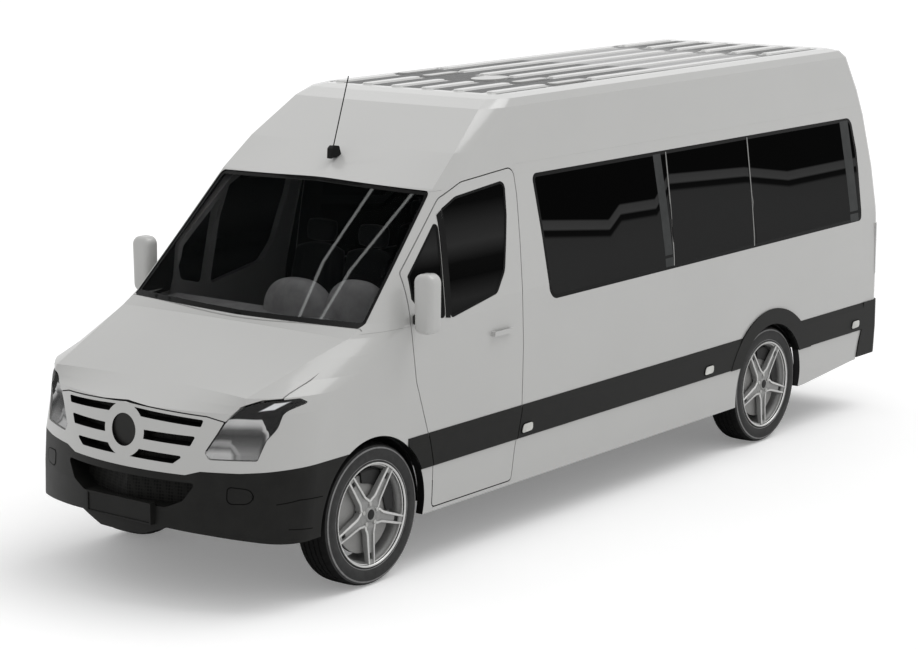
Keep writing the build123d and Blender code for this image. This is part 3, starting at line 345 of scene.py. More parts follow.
def glass(name, tint, cover, index=1.45, pattern=None):
    """Pane glass: cover is the share of light it stops; a pattern paints in the grey of a reflection."""
    material, nodes, links, shader = new_material(name)
    film = noise_at(nodes, links, 3, 3)
    colour = tinted(nodes, links, film, [c * 0.9 for c in tint], tint)
    if pattern:
        colour = pattern(nodes, links, colour)
    links.new(colour, shader.inputs["Base Color"])
    shader.inputs["Roughness"].default_value = 0.03
    shader.inputs["Alpha"].default_value = cover
    shader.inputs["IOR"].default_value = index
    return material


def line_at(nodes, links, along, points, low, high):
    """Second coordinate of an open line at each place along it; low and high bound that coordinate."""
    first, last = points[0][0], points[-1][0]
    place = mapped(nodes, links, along, first, last, 0.0, 1.0)
    grey = stepped(nodes, links, place, [((a - first) / (last - first), (b - low) / (high - low)) for a, b in points])
    apart = nodes.new("ShaderNodeSeparateColor")
    links.new(grey, apart.inputs["Color"])
    return calc(nodes, links, "MULTIPLY_ADD", apart.outputs["Red"], high - low, low)


def side_pane_painted_reflection(nodes, links, colour):
    """Side panes, painted reflection: black above, then a pale stripe, then the grey of the ground."""
    line = line_at(nodes, links, axis_of(nodes, links, "Y"), HORIZON, *HORIZON_Z)
    over = calc(nodes, links, "SUBTRACT", axis_of(nodes, links, "Z"), line)
    grey = stepped(nodes, links, mapped(nodes, links, over, *HORIZON_BAND, 0.0, 1.0), HORIZON_REFLECTION_TONES)
    return mixed(nodes, links, mapped(nodes, links, over, *HORIZON_BAND, 0.7, 0.95), colour, grey)


def door_pane_painted_reflection(nodes, links, colour):
    """Door panes, painted reflection: soft grey bands between black ones."""
    height = axis_of(nodes, links, "Z")
    grey = stepped(nodes, links, mapped(nodes, links, height, *DOOR_PANE_Z, 0.0, 1.0), DOOR_REFLECTION_TONES)
    return mixed(nodes, links, mapped(nodes, links, height, *DOOR_PANE_Z, 0.85, 0.95), colour, grey)


def windshield_painted_reflections(nodes, links, colour):
    """Windshield: painted reflections, two pale lines that run down the driver's side."""
    height = axis_of(nodes, links, "Z")
    across = axis_of(nodes, links, "X")
    for streak in REFLECTED_LAMP_STREAKS:
        line = line_at(nodes, links, height, streak, *STREAK_X)
        off = calc(nodes, links, "ABSOLUTE", calc(nodes, links, "SUBTRACT", across, line))
        # each line is a painted reflection: the pane's colour is lifted towards pale grey along it
        colour = mixed(nodes, links, mapped(nodes, links, off, *STREAK_EDGE, 0.9, 0.0), colour, REFLECTED_STREAK_TONE)
    return colour


def rubber(name, colour, roughness=0.75, shine=0.3):
    """Tyre rubber with a dusty bloom."""
    material, nodes, links, shader = new_material(name)
    dust = noise_at(nodes, links, 24, 6, 0.65)
    links.new(tinted(nodes, links, dust, colour, [c * 1.7 for c in colour], 0.35, 0.8), shader.inputs["Base Color"])
    links.new(spread(nodes, links, dust, roughness - 0.1, roughness + 0.1), shader.inputs["Roughness"])
    shader.inputs["Specular IOR Level"].default_value = shine
    fine = noise_at(nodes, links, 700, 3)
    bumped(nodes, links, shader, fine.outputs["Fac"], 0.3, 0.0004)
    return material


def cloth(name, colour, light):
    """Woven seat cloth: two crossed thread waves, with a sheen."""
    material, nodes, links, shader = new_material(name)
    coords = nodes.new("ShaderNodeTexCoord")
    heights = []
    for axis in ("X", "Z"):
        wave = nodes.new("ShaderNodeTexWave")
        wave.bands_direction = axis
        wave.inputs["Scale"].default_value = THREADS
        wave.inputs["Distortion"].default_value = 0.6
        links.new(coords.outputs["Object"], wave.inputs["Vector"])
        heights.append(wave.outputs["Fac"])
    weave = calc(nodes, links, "MAXIMUM", *heights)
    fleck = noise_at(nodes, links, 160, 4, 0.7)
    links.new(tinted(nodes, links, fleck, colour, light, 0.42, 0.62), shader.inputs["Base Color"])
    shader.inputs["Roughness"].default_value = 0.9
    shader.inputs["Sheen Weight"].default_value = 0.35
    bumped(nodes, links, shader, weave, 0.35, 0.0006)
    return material


THREADS = 420 / 6.283       # the wave texture's scale for 420 threads a metre
MATERIALS = {}


def finish(name):
    return MATERIALS[name]


# ---- outlines -----------------------------------------------------------------------------------
# As in the solids' source, in millimetres: side view (y, z, corner radius) and front view (x, z, corner radius).
WINDOW_BAND = [(1655, 2177, 45), (5640, 2177, 70), (5665, 1937, 300), (5632, 1425, 40), (1690, 1405, 80)]
DOOR_PANE = [
    (745, 2067, 20), (880, 2124, 150), (1380, 2170, 45), (1352, 1960, 300), (1265, 1640, 130), (1165, 1520, 60),
    (700, 1438, 25)]
QUARTER_PANE = [(366, 1600, 15), (378, 1726, 20), (697, 2027, 25), (652, 1446, 25), (440, 1500, 60)]
WINDSHIELD = [
    (-898, 1476, 30), (-818, 2168, 35), (0, 2192, 0), (818, 2168, 35), (898, 1476, 30), (0, 1462, 0)]
REAR_PANE = [(70, 1440, 40), (800, 1440, 60), (688, 2120, 60), (70, 2120, 40)]
TRIM_INSET = 0.0006         # metres from a pane's edge to the trim laid on it
PANE_JOINTS = [(3087, 3144), (4104, 4169)]      # y at the foot and at the head of the joints between side panes
PANE_POSTS = [(2990, 3080), (5470, 5590)]       # y of the frames seen behind the side panes
PANE_FOOT, PANE_HEAD, POST_HEAD = 1.43, 2.165, 2.16
DOOR_POST = [(700, 2036), (741, 2060), (697, 1445), (656, 1452)]
SIDE_MARKER = [(-52, -27, 10), (56, -24, 22), (56, 26, 14), (-34, 24, 26)]
MARKERS_Y, MARKER_Z = (1424, 3507, 5544), 658
FOG_LAMP_BLANK = [(676, 620, 30), (800, 628, 44), (806, 700, 40), (676, 709, 20)]
FOG_LAMP_GAP = [(670, 614, 33), (804, 622, 48), (811, 704, 44), (670, 715, 23)]
BUMPER_CREASES = [                              # y, z in metres, on the bumper's flank; each crease is drawn as a line of painted shade
    [(-3.190, 0.620), (-3.074, 0.634), (-2.905, 0.623), (-2.905, 0.628), (-3.074, 0.640), (-3.190, 0.625)],
    [(-3.140, 0.477), (-2.985, 0.459), (-2.985, 0.464), (-3.140, 0.482)]]
# The roof from above: x from and to, then y from and to.
ROOF_LINES = [(-70, 70), (170, 312), (412, 554), (654, 672)]        # between the ribs
RIB_LINES = [(78, 162), (320, 404), (562, 646)]                     # in line with a rib, past its ends
RIB_GAPS = [[(2056, 2424), (4636, 4754)], [(2106, 2524), (4666, 4774)], [(2156, 2614), (4696, 4794)]]
ROOF_LENGTH = (1560, 5455)
SHORT_RIBS = [(326, 398, 2150, 2480), (568, 640, 2200, 2570)]       # between the long ones
GROOVE_CORNER, RIB_CORNER = 8, 34
ROOF_BOSS = (71, 2278, 101, 151)                                    # middle x and y, half width and half length
RAISED, RAISED_WALL = 0.010, 0.012                                  # the boss and short ribs over the skin
# Instrument hoods, in metres: middle x and y, foot z, half width, half depth, height.
DASH_HOODS = [(0.13, -2.09, 1.38, 0.26, 0.13, 0.26), (0.57, -2.07, 1.38, 0.24, 0.12, 0.29)]
HOOD_SQUARE, HOOD_ROUND, HOOD_LEAN = 2.6, 0.75, -0.25               # how boxy, how full, how far it leans

# ---- patterns of the finishes, in metres ---------------------------------------------------------
GROOVE_Y = (ROOF_LENGTH[0] / 1000 + SHIFT, ROOF_LENGTH[1] / 1000 + SHIFT)
TAIL_LAMP_Z = (1.0, 1.38)
TAIL_CLEAR_Y = 5.885 + SHIFT                    # the tail lamps' clear sides end here
HORIZON = [                                     # y and z along the foot of the pale stripe of painted reflection in the side panes
    (-0.80, 1.86), (-0.05, 1.775), (0.09, 1.855), (0.50, 1.845), (0.69, 1.985), (1.64, 1.935), (2.2, 1.85),
    (3.25, 1.85)]
HORIZON_Z = (1.70, 2.05)                        # lowest and highest z that the line may take
HORIZON_BAND = (-0.20, 0.10)                    # from below to above the line, where the tones change
# Greys of the painted reflection in the side panes, from below the line to above it.
HORIZON_REFLECTION_TONES = [
    (0.0, 0.036), (0.40, 0.030), (0.46, 0.004), (0.56, 0.003), (0.60, 0.048), (0.76, 0.040), (0.80, 0.002),
    (1.0, 0.002)]
DOOR_PANE_Z = (1.4, 2.15)
# Greys of the painted reflection in the door panes, from bottom to top.
DOOR_REFLECTION_TONES = [
    (0.0, 0.010), (0.18, 0.022), (0.34, 0.003), (0.46, 0.004), (0.60, 0.030), (0.74, 0.020), (0.90, 0.003),
    (1.0, 0.002)]
REFLECTED_LAMP_STREAKS = [                                     # z and x along the two pale lines of painted reflection in the windshield
    [(1.475, 0.440), (1.77, 0.380), (2.16, 0.425)], [(1.475, 0.587), (1.744, 0.594), (2.17, 0.713)]]
STREAK_X = (0.3, 0.8)                           # lowest and highest x that a line may take
STREAK_EDGE = (0.007, 0.014)                    # half its width, where it is full and where it has gone
REFLECTED_STREAK_TONE = (0.34, 0.35, 0.345)
# The reflector's greys below are painted reflections, the fold's dark line is painted shade, and the glint is a
# painted highlight.
REFLECTOR_Z, REFLECTOR_CURVE = 1.077, (0.80, 1.9)   # the reflector's upper edge, and where it falls and how fast
REFLECTOR_BAND = (-0.01, 0.19)
REFLECTOR_REFLECTION_TONES = [
    (0.03, 0.001), (0.06, 0.60), (0.20, 0.50), (0.36, 0.10), (0.52, 0.045), (0.75, 0.11), (1.0, 0.26)]
FOLD_Z, FOLD_CURVE = 0.945, (0.655, 1.35)       # the fold across its foot, in the same way
FOLD_LIGHT_AND_SHADE_TONES = [(0.0, 0.34), (0.25, 0.30), (0.5, 0.14), (0.85, 0.42), (1.0, 0.55)]
GLINT_SLOPE, GLINT_LINE, GLINT_X, GLINT_TAPER = -0.42, 0.792, 0.845, 0.30
GLINT_EDGE = (0.014, 0.020)
GLINT_TONE = (0.85, 0.86, 0.88)

# ---- trim laid on the skin -----------------------------------------------------------------------
def rounded(points, steps=5):
    """Outline with its corners rounded, from (a, b, radius) in millimetres; returns metres."""
    result = []
    count = len(points)
    for i, (a, b, radius) in enumerate(points):
        before, after = points[i - 1], points[(i + 1) % count]
        here = Vector((a, b))
        u = (Vector(before[:2]) - here).normalized()
        v = (Vector(after[:2]) - here).normalized()
        half = math.acos(max(-1.0, min(1.0, u.dot(v)))) / 2
        if radius < 0.5 or half > 1.55:
            result.append(here / 1000)
            continue
        reach = radius / math.tan(half)
        centre = here + (u + v).normalized() * radius / math.sin(half)
        start, end = here + u * reach - centre, here + v * reach - centre
        swing = start.angle_signed(end)
        for k in range(steps + 1):
            turn = swing * k / steps
            c, s = math.cos(turn), math.sin(turn)
            # angle_signed counts clockwise, so the turn is undone here
            result.append((centre + Vector((start.x * c + start.y * s, -start.x * s + start.y * c))) / 1000)
    return result


def inward(points, gap):
    """Closed outline moved inwards by the gap."""
    size = sum(points[i - 1][0] * p[1] - p[0] * points[i - 1][1] for i, p in enumerate(points))
    turn = 1 if size > 0 else -1
    result = []
    count = len(points)
    for i, p in enumerate(points):
        before, after = Vector(points[i - 1]), Vector(points[(i + 1) % count])
        here = Vector(p)
        d0, d1 = (here - before), (after - here)
        if d0.length < 1e-9 or d1.length < 1e-9:
            result.append(here)
            continue
        d0.normalize()
        d1.normalize()
        n0, n1 = Vector((-d0.y, d0.x)) * turn, Vector((-d1.y, d1.x)) * turn
        bisector = (n0 + n1).normalized()
        result.append(here + bisector * gap / max(bisector.dot(n0), 0.4))
    return result


AXES = {"x": (0, 1, 2), "y": (1, 0, 2), "z": (2, 0, 1)}     # along the rays, then the outline's two
FAR = 6                     # rays start this far out


class Skin:
    """Outside surface of some CAD nodes, for laying trim on it along one axis."""

    def __init__(self, nodes, axis, sign):
        verts, faces = [], []
        for node in nodes:
            mesh = frame["nodes"][node].data
            base = len(verts)
            verts.extend(v.co.copy() for v in mesh.vertices)
            faces.extend([base + i for i in p.vertices] for p in mesh.polygons)
        self.tree = BVHTree.FromPolygons(verts, faces)
        self.along, self.first, self.second = AXES[axis]
        self.sign = sign
        self.seen = 0.0     # depth of the last hit, used past the skin's edge

    def point(self, a, b, proud):
        """Point over (a, b), `proud` outside the surface."""
        origin = [0.0, 0.0, 0.0]
        origin[self.first], origin[self.second], origin[self.along] = a, b, self.sign * FAR
        ray = [0.0, 0.0, 0.0]
        ray[self.along] = -self.sign
        hit, normal, _, _ = self.tree.ray_cast(Vector(origin), Vector(ray))
        if hit is None:
            origin[self.along] = self.seen + self.sign * proud
            return Vector(origin)
        self.seen = hit[self.along]
        if normal[self.along] * self.sign < 0:
            normal = -normal
        return hit + normal * proud


def patch(name, skin, outline, proud, material, step=0.08, wall=0.0):
    """Panel inside the outline laid on the skin; wall closes its rim down to the skin."""
    work = bmesh.new()
    face = work.faces.new([work.verts.new((p[0], p[1], 0)) for p in outline])
    face.normal_update()
    bmesh.ops.triangulate(work, faces=[face])
    lows = [min(p[i] for p in outline) for i in (0, 1)]
    highs = [max(p[i] for p in outline) for i in (0, 1)]
    for i in (0, 1):
        at = lows[i] + step
        while at < highs[i]:
            where, normal = [0, 0, 0], [0, 0, 0]
            where[i], normal[i] = at, 1
            geometry = list(work.verts) + list(work.edges) + list(work.faces)
            bmesh.ops.bisect_plane(work, geom=geometry, plane_co=where, plane_no=normal, dist=1e-6)
            at += step
    rim = [e for e in work.edges if len(e.link_faces) == 1]
    lower = set()
    if wall:
        made = bmesh.ops.extrude_edge_only(work, edges=rim)["geom"]
        lower = {g for g in made if isinstance(g, bmesh.types.BMVert)}
    flat = {v: (v.co.x, v.co.y) for v in work.verts}
    for v in work.verts:
        v.co = skin.point(*flat[v], proud - wall if v in lower else proud)
    bmesh.ops.recalc_face_normals(work, faces=work.faces)
    return from_bmesh(name, work, material, 35)


def border(name, skin, outline, width, proud, material, step=0.06):
    """Band of even width just inside the outline, laid on the skin."""
    dense = []
    for i, p in enumerate(outline):
        after = outline[(i + 1) % len(outline)]
        count = max(1, int((Vector(after) - Vector(p)).length / step))
        dense.extend(Vector(p).lerp(Vector(after), k / count) for k in range(count))
    clean = [p for i, p in enumerate(dense) if (p - dense[i - 1]).length > 1e-6]
    inner = inward(clean, width)
    verts = [skin.point(p[0], p[1], proud) for p in clean] + [skin.point(p[0], p[1], proud) for p in inner]
    n = len(clean)
    faces = [[i, (i + 1) % n, n + (i + 1) % n, n + i] for i in range(n)]
    obj = make_object(name, verts, faces, [material], None, 40)
    work = bmesh.new()
    work.from_mesh(obj.data)
    bmesh.ops.recalc_face_normals(work, faces=work.faces)
    work.to_mesh(obj.data)
    work.free()
    return obj


def mirror_copy(obj, name):
    """Mirror image of a piece on the right side."""
    copy = obj.copy()
    copy.data = obj.data.copy()
    copy.name = name
    copy.data.transform(Matrix.Scale(-1, 4, (1, 0, 0)))
    copy.data.flip_normals()
    bpy.context.scene.collection.objects.link(copy)
    return copy


def keep(obj, body, replaced=()):
    """Tie a finished piece to its body, and hide the solids that it stands for."""
    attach(obj, body)
    if replaced:
        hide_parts(*replaced)
    return obj


def keep_pair(left, body, replaced=()):
    """Keep a left piece and its mirror image, named right where the left one's names say left."""
    right = mirror_copy(left, left.name.replace("left", "right"))
    keep(left, body, replaced)
    keep(right, body.replace("left", "right"), [node.replace("left", "right") for node in replaced])


# ---- tyres and wheels ---------------------------------------------------------------------------
TYRE_SECTION = [            # (outward, radius) in millimetres, and the band's material; band 2, on two thin ridges of the sidewall, is painted highlight
    (-88, 289, 0), (-96, 292, 0), (-103, 306, 0), (-112, 325, 0), (-117, 350, 0), (-115, 372, 0),
    (-109, 389, 0), (-101, 400, 0), (-90, 407, 1), (-76, 410.5, 1), (-60, 412, 1), (-59, 405, 1), (-51, 405, 1),
    (-50, 412.6, 1), (-23, 413, 1), (-22, 405, 1), (-14, 405, 1), (-13, 413, 1), (13, 413, 1), (14, 405, 1),
    (22, 405, 1), (23, 413, 1), (50, 412.6, 1), (51, 405, 1), (59, 405, 1), (60, 412, 1), (76, 410.5, 1),
    (90, 407, 1), (101, 400, 0), (107, 392, 0), (109.5, 390, 2), (112, 384, 2), (112.5, 381, 0),
    (116.5, 365, 0), (117.3, 350, 0), (116, 335, 0), (112, 322, 0), (108.5, 317, 2), (107.5, 313, 0),
    (104, 303, 0), (98, 292, 0), (88, 289, 0), (-88, 289, 0)]

TREAD_BAND, GROOVE_R, SHOULDER_X, BLOCK = 1, 406, 58, 6     # BLOCK: segments from one shoulder block to the next


def make_tyre(name, segments, groove):
    """Tyre about the X axis, with shoulder blocks and sipes cut across the ribs."""
    profile = metres(TYRE_SECTION)
    tyre = lathe(name, profile, segments, [finish("tyre"), finish("tread"), finish("tyre_mark")],
                 [band for _, _, band in TYRE_SECTION])
    count = len(profile)
    for i, v in enumerate(tyre.data.vertices):
        segment, place = divmod(i, count)
        x, r, band = TYRE_SECTION[place]
        if band != TREAD_BAND or r < GROOVE_R:
            continue
        cut = abs(x) > SHOULDER_X and segment % BLOCK == 0
        sipe = 10 < abs(x) < SHOULDER_X and segment % BLOCK == (3 if x > 0 else 1)
        if cut or sipe:
            scale = 1 - (groove if cut else groove * 0.6) / (r / 1000)
            v.co.y *= scale
            v.co.z *= scale
    return tyre


# Band 2 is near-black: in the groove by the rim's lip it is painted shade; on the hub's centre cap it is the cap's
# own colour.
RIM_SECTION = [
    (-112, 303, 1), (-105, 303, 1), (-101, 292, 1), (-92, 281, 1), (-40, 272, 1), (50, 272, 1), (72, 276, 1),
    (78, 281, 1), (90, 283, 0), (97, 284.5, 0), (99, 289, 2), (107, 290.5, 0), (111, 294, 0), (112.5, 298, 0),
    (112, 302, 0), (109, 303, 0), (100, 302.5, 0), (94, 288, 1), (-94, 288, 1), (-112, 303, 1)]
HUB_SECTION = [
    (58, 30, 1), (58, 60, 1), (70, 84, 1), (84, 91, 1), (90, 90, 1), (93, 86, 1), (94, 80, 1), (94, 72, 1),
    (93, 68, 1), (92, 45, 1), (95, 41, 1), (99, 38, 1), (100.5, 36, 1), (100.5, 30, 2), (100.5, 28, 2),
    (102.5, 26, 2), (103.2, 10, 2), (103.4, 0.01, 2)]
DISC_SECTION = [
    (46, 90, 0), (46, 230, 0), (44, 232, 0), (38, 232, 0), (38, 208, 1), (26, 208, 1), (26, 232, 0), (20, 232, 0),
    (18, 230, 0), (18, 82, 0), (48, 80, 1), (54, 78, 1), (56, 72, 1), (56, 30, 1)]
SPOKE = [                   # radius, half width, face height, channel depth, back height
    (58, 50, 95.5, 2, 60), (84, 45, 97, 5, 62), (98, 38.5, 98.5, 8, 63), (114, 34.5, 99.5, 10, 64),
    (160, 32.5, 101, 11, 67), (200, 31, 102.5, 11, 70), (226, 30, 103.5, 11, 73), (228, 30, 103.6, 16, 73),
    (262, 28.5, 105, 16, 77), (264, 28.5, 105, 8, 77), (278, 28, 105.5, 4, 80), (292, 27.5, 105.5, 2, 84)]
RIDGE, RIDGE_SHARE, RIDGE_SLOPE = 14, 0.42, 2.5     # widest ridge, its share of the half width, its inner slope
SLOT_DEPTH = 15             # a channel deeper than this is painted near-black, as painted shade in the slot near the rim


def make_spoke(turn):
    """One twin spoke: bright ridges along both edges and a sunk channel between them."""
    verts, bands = [], []
    c, s = math.cos(math.radians(turn)), math.sin(math.radians(turn))
    for r, w, top, deep, back in SPOKE:
        ridge, slope = min(RIDGE, w * RIDGE_SHARE), RIDGE_SLOPE
        section = [(-w - 3, back), (-w - 1.5, top - 9), (-w, top - 3), (-w + 1.2, top - 0.8), (-w + 3, top),
                   (-w + ridge, top - 0.4), (-w + ridge + slope, top - deep), (w - ridge - slope, top - deep),
                   (w - ridge, top - 0.4), (w - 3, top), (w - 1.2, top - 0.8), (w, top - 3), (w + 1.5, top - 9),
                   (w + 3, back)]
        for t, x in section:
            verts.append((x / 1000, (r * c - t * s) / 1000, (r * s + t * c) / 1000))
    n = len(section)
    faces = ring_faces(len(SPOKE), n)
    for inner, outer in zip(SPOKE, SPOKE[1:]):
        slot = inner[3] > SLOT_DEPTH and outer[3] > SLOT_DEPTH
        # band 2 on a slot's floor is painted shade
        bands.extend(2 if slot and j == 6 else 0 if 2 <= j <= 4 or 8 <= j <= 10 else 1 for j in range(n))
    faces.append(list(range(n))[::-1])
    faces.append([len(verts) - n + j for j in range(n)])
    bands.extend([1, 1])
    return make_object("spoke", verts, faces, [finish("alloy"), finish("alloy_dark"), finish("dark_cap_and_painted_shade")], bands, 28)


BOLT_SECTION = [(17, 91.6, False), (15.8, 94.2, False), (14.6, 93.0, False), (12.5, 93.0, True), (12.5, 100.0, True),
                (10.4, 101.8, True)]        # radius, outward, and whether the ring is a hexagon
BOLT_POINTS, HEX_SHARE = 24, 0.93


def make_bolt(turn, radius):
    """Wheel bolt: hexagon head with a chamfered crown on a sunk seat."""
    work = bmesh.new()
    rings = []
    for r, x, hexagon in BOLT_SECTION:
        ring = []
        for k in range(BOLT_POINTS):
            t = 2 * math.pi * k / BOLT_POINTS
            flat = r / math.cos(((t + math.pi / 6) % (math.pi / 3)) - math.pi / 6) * HEX_SHARE if hexagon else r
            ring.append(work.verts.new((x / 1000, (radius * math.cos(turn) + flat * math.cos(t)) / 1000,
                                        (radius * math.sin(turn) + flat * math.sin(t)) / 1000)))
        rings.append(ring)
    bridge(work, rings)
    work.faces.new(rings[-1])
    bmesh.ops.recalc_face_normals(work, faces=work.faces)
    return from_bmesh("bolt", work, finish("steel"), 30)


CALIPER_SECTION = [         # outward, radius: a bridge over the brake disc
    (-10, 150), (-10, 250), (-4, 260), (56, 260), (63, 250), (63, 176), (60, 168), (51, 168), (51, 238), (12, 238),
    (12, 150)]
CALIPER_ARC = (-6, 100)     # degrees, from the rear towards the top
CALIPER_STEPS = 28


def make_caliper(name):
    """Brake caliper about the wheel's axis, its outer face stepped over the pistons."""
    verts = []
    steps, count = CALIPER_STEPS, len(CALIPER_SECTION)
    for k in range(steps + 1):
        share = k / steps
        turn = math.radians(CALIPER_ARC[0] + (CALIPER_ARC[1] - CALIPER_ARC[0]) * share)
        piston = -3 * max(0.0, math.sin(share * math.pi * 4))
        narrow = 16 * (2 * abs(share - 0.5)) ** 4
        for x, r in CALIPER_SECTION:
            out = x + (piston if x > 55 else 0)
            r = r + narrow if r < 200 else r - narrow * 0.4
            verts.append((out / 1000, r * math.cos(turn) / 1000, r * math.sin(turn) / 1000))
    faces = ring_faces(steps + 1, count)
    faces.append(list(range(count))[::-1])
    faces.append([steps * count + j for j in range(count)])
    return make_object(name, verts, faces, [finish("brake_hat")], None, 30)


FIRST_SPOKE, FIRST_BOLT = -90, -54      # degrees, from the rear towards the top
BOLT_CIRCLE = 62


def make_wheel(name, spokes, bolts):
    """Alloy wheel with its hub, brake disc, twin spokes and bolts."""
    def turned(part, section, segments, materials):
        return lathe(part, metres(section), segments, materials, [band for _, _, band in section])

    silver = [finish("alloy"), finish("alloy_dark"), finish("dark_cap_and_painted_shade")]
    parts = [turned("barrel", RIM_SECTION, 128, silver), turned("hub", HUB_SECTION, 72, silver),
             turned("disc", DISC_SECTION, 96, [finish("brake_disc"), finish("brake_hat")])]
    for k in range(spokes):
        parts.append(make_spoke(FIRST_SPOKE + 360 / spokes * k))
    for k in range(bolts):
        parts.append(make_bolt(math.radians(FIRST_BOLT + 360 / bolts * k), BOLT_CIRCLE))
    return joined(name, parts)


# ---- seats --------------------------------------------------------------------------------------
# Side views of one seat in millimetres: y from its front, and z. The face towards the sitter lies between the
# second corner and the third.
CUSHION = [(0, 952), (12, 1086), (470, 1060), (470, 952)]
BACKREST = [(580, 1012), (474, 1040), (592, 1638), (676, 1638)]
HEADREST = [(672, 1643), (606, 1643), (624, 1788), (690, 1788)]
SEAT_GAP, HEAD_INSET = 5.0, 90      # from a pad to the seat's side, and how much narrower the headrest is
CUSHION_CROWN, BACK_CROWN, HEAD_CROWN = 0.42, 0.4, 0.5
CHANNELS = (-0.62, 0.62)            # sewn channels across a pad, from -1 to 1
CHANNEL_DEPTH, CHANNEL_WIDTH = 0.16, 0.035
FRONT_SEATS = [(200, 700), (-430, 0), (-860, -430)]     # x from and to
FRONT_ROW_Y = 800.0
DOUBLE_AND_SINGLE = [(30, 440), (440, 850), (-850, -440)]
CABIN_ROWS = [(1850.0, DOUBLE_AND_SINGLE), (2650.0, DOUBLE_AND_SINGLE), (3450.0, DOUBLE_AND_SINGLE),
              (4250.0, DOUBLE_AND_SINGLE), (5050.0, [(-850, -425), (-425, 0), (0, 425), (425, 850)])]


def pillow(quad, x0, x1, cuts, crown, channels):
    """Stuffed form between x0 and x1 over a side-view quad, with sewn channels across its face."""
    verts, faces = [], []
    index = {}

    def vertex(i, j, k):
        key = (i, j, k)
        if key not in index:
            u, v, w = (2 * n / cuts - 1 for n in key)
            su = u * math.sqrt(max(0, 1 - v * v / 2 - w * w / 2 + v * v * w * w / 3))
            sv = v * math.sqrt(max(0, 1 - u * u / 2 - w * w / 2 + u * u * w * w / 3))
            sw = w * math.sqrt(max(0, 1 - u * u / 2 - v * v / 2 + u * u * v * v / 3))
            pu, pv, pw = (a + (b - a) * crown for a, b in ((u, su), (v, sv), (w, sw)))
            if w > 0.9:
                for line in channels:
                    pw -= CHANNEL_DEPTH * math.exp(-((u - line) / CHANNEL_WIDTH) ** 2)
            p, q = (pv + 1) / 2, (pw + 1) / 2
            low = Vector(quad[0]).lerp(Vector(quad[3]), p)
            high = Vector(quad[1]).lerp(Vector(quad[2]), p)
            y, z = low.lerp(high, q)
            index[key] = len(verts)
            verts.append(((x0 + (x1 - x0) * (pu + 1) / 2) / 1000, y / 1000 + SHIFT, z / 1000))
        return index[key]

    for a in range(cuts):
        for b in range(cuts):
            for end in (0, cuts):
                quads = [[(end, a, b), (end, a + 1, b), (end, a + 1, b + 1), (end, a, b + 1)],
                         [(a, end, b), (a + 1, end, b), (a + 1, end, b + 1), (a, end, b + 1)],
                         [(a, b, end), (a + 1, b, end), (a + 1, b + 1, end), (a, b + 1, end)]]
                faces.extend([vertex(*corner) for corner in quad_face] for quad_face in quads)
    work = bmesh.new()
    made = [work.verts.new(v) for v in verts]
    for face in faces:
        work.faces.new([made[i] for i in face])
    bmesh.ops.recalc_face_normals(work, faces=work.faces)
    return from_bmesh("pad", work, finish("cloth"), 50)


def make_seat(name, y, x0, x1, cuts):
    """Cushion, backrest and headrest of one seat."""
    def pad(quad, inset, detail, crown, channels):
        return pillow([(y + a, b) for a, b in quad], x0 + inset, x1 - inset, detail, crown, channels)

    pads = [pad(CUSHION, SEAT_GAP, cuts, CUSHION_CROWN, CHANNELS),
            pad(BACKREST, SEAT_GAP, cuts, BACK_CROWN, CHANNELS),
            pad(HEADREST, HEAD_INSET + SEAT_GAP, max(8, cuts // 2), HEAD_CROWN, ())]
    seat = joined(name, pads)
    smooth_by_angle(seat, 60)
    return seat


# ---- steering wheel, mirrors and lamps ----------------------------------------------------------
ARM_TURNS = (8, 172, 235, 305)      # degrees round the steering wheel
HUB_PAD = (-0.075, -0.055, -0.036), (0.075, 0.055, 0.004)
SLEEVE = [(-100, 0.01), (-99, 9), (-40, 9), (-39, 38), (-10, 38), (-8, 0.01)]   # along the column, radius
GRIP_FULL = 0.92                    # the grip's share of the radius that the solid takes
WHEEL_TILT = math.radians(40)
STEERING_AT = Matrix.Translation((0.430, 0.650 + SHIFT, 1.465)) @ Matrix(
    ((1, 0, 0, 0), (0, math.sin(WHEEL_TILT), math.cos(WHEEL_TILT), 0),
     (0, -math.cos(WHEEL_TILT), math.sin(WHEEL_TILT), 0), (0, 0, 0, 1)))


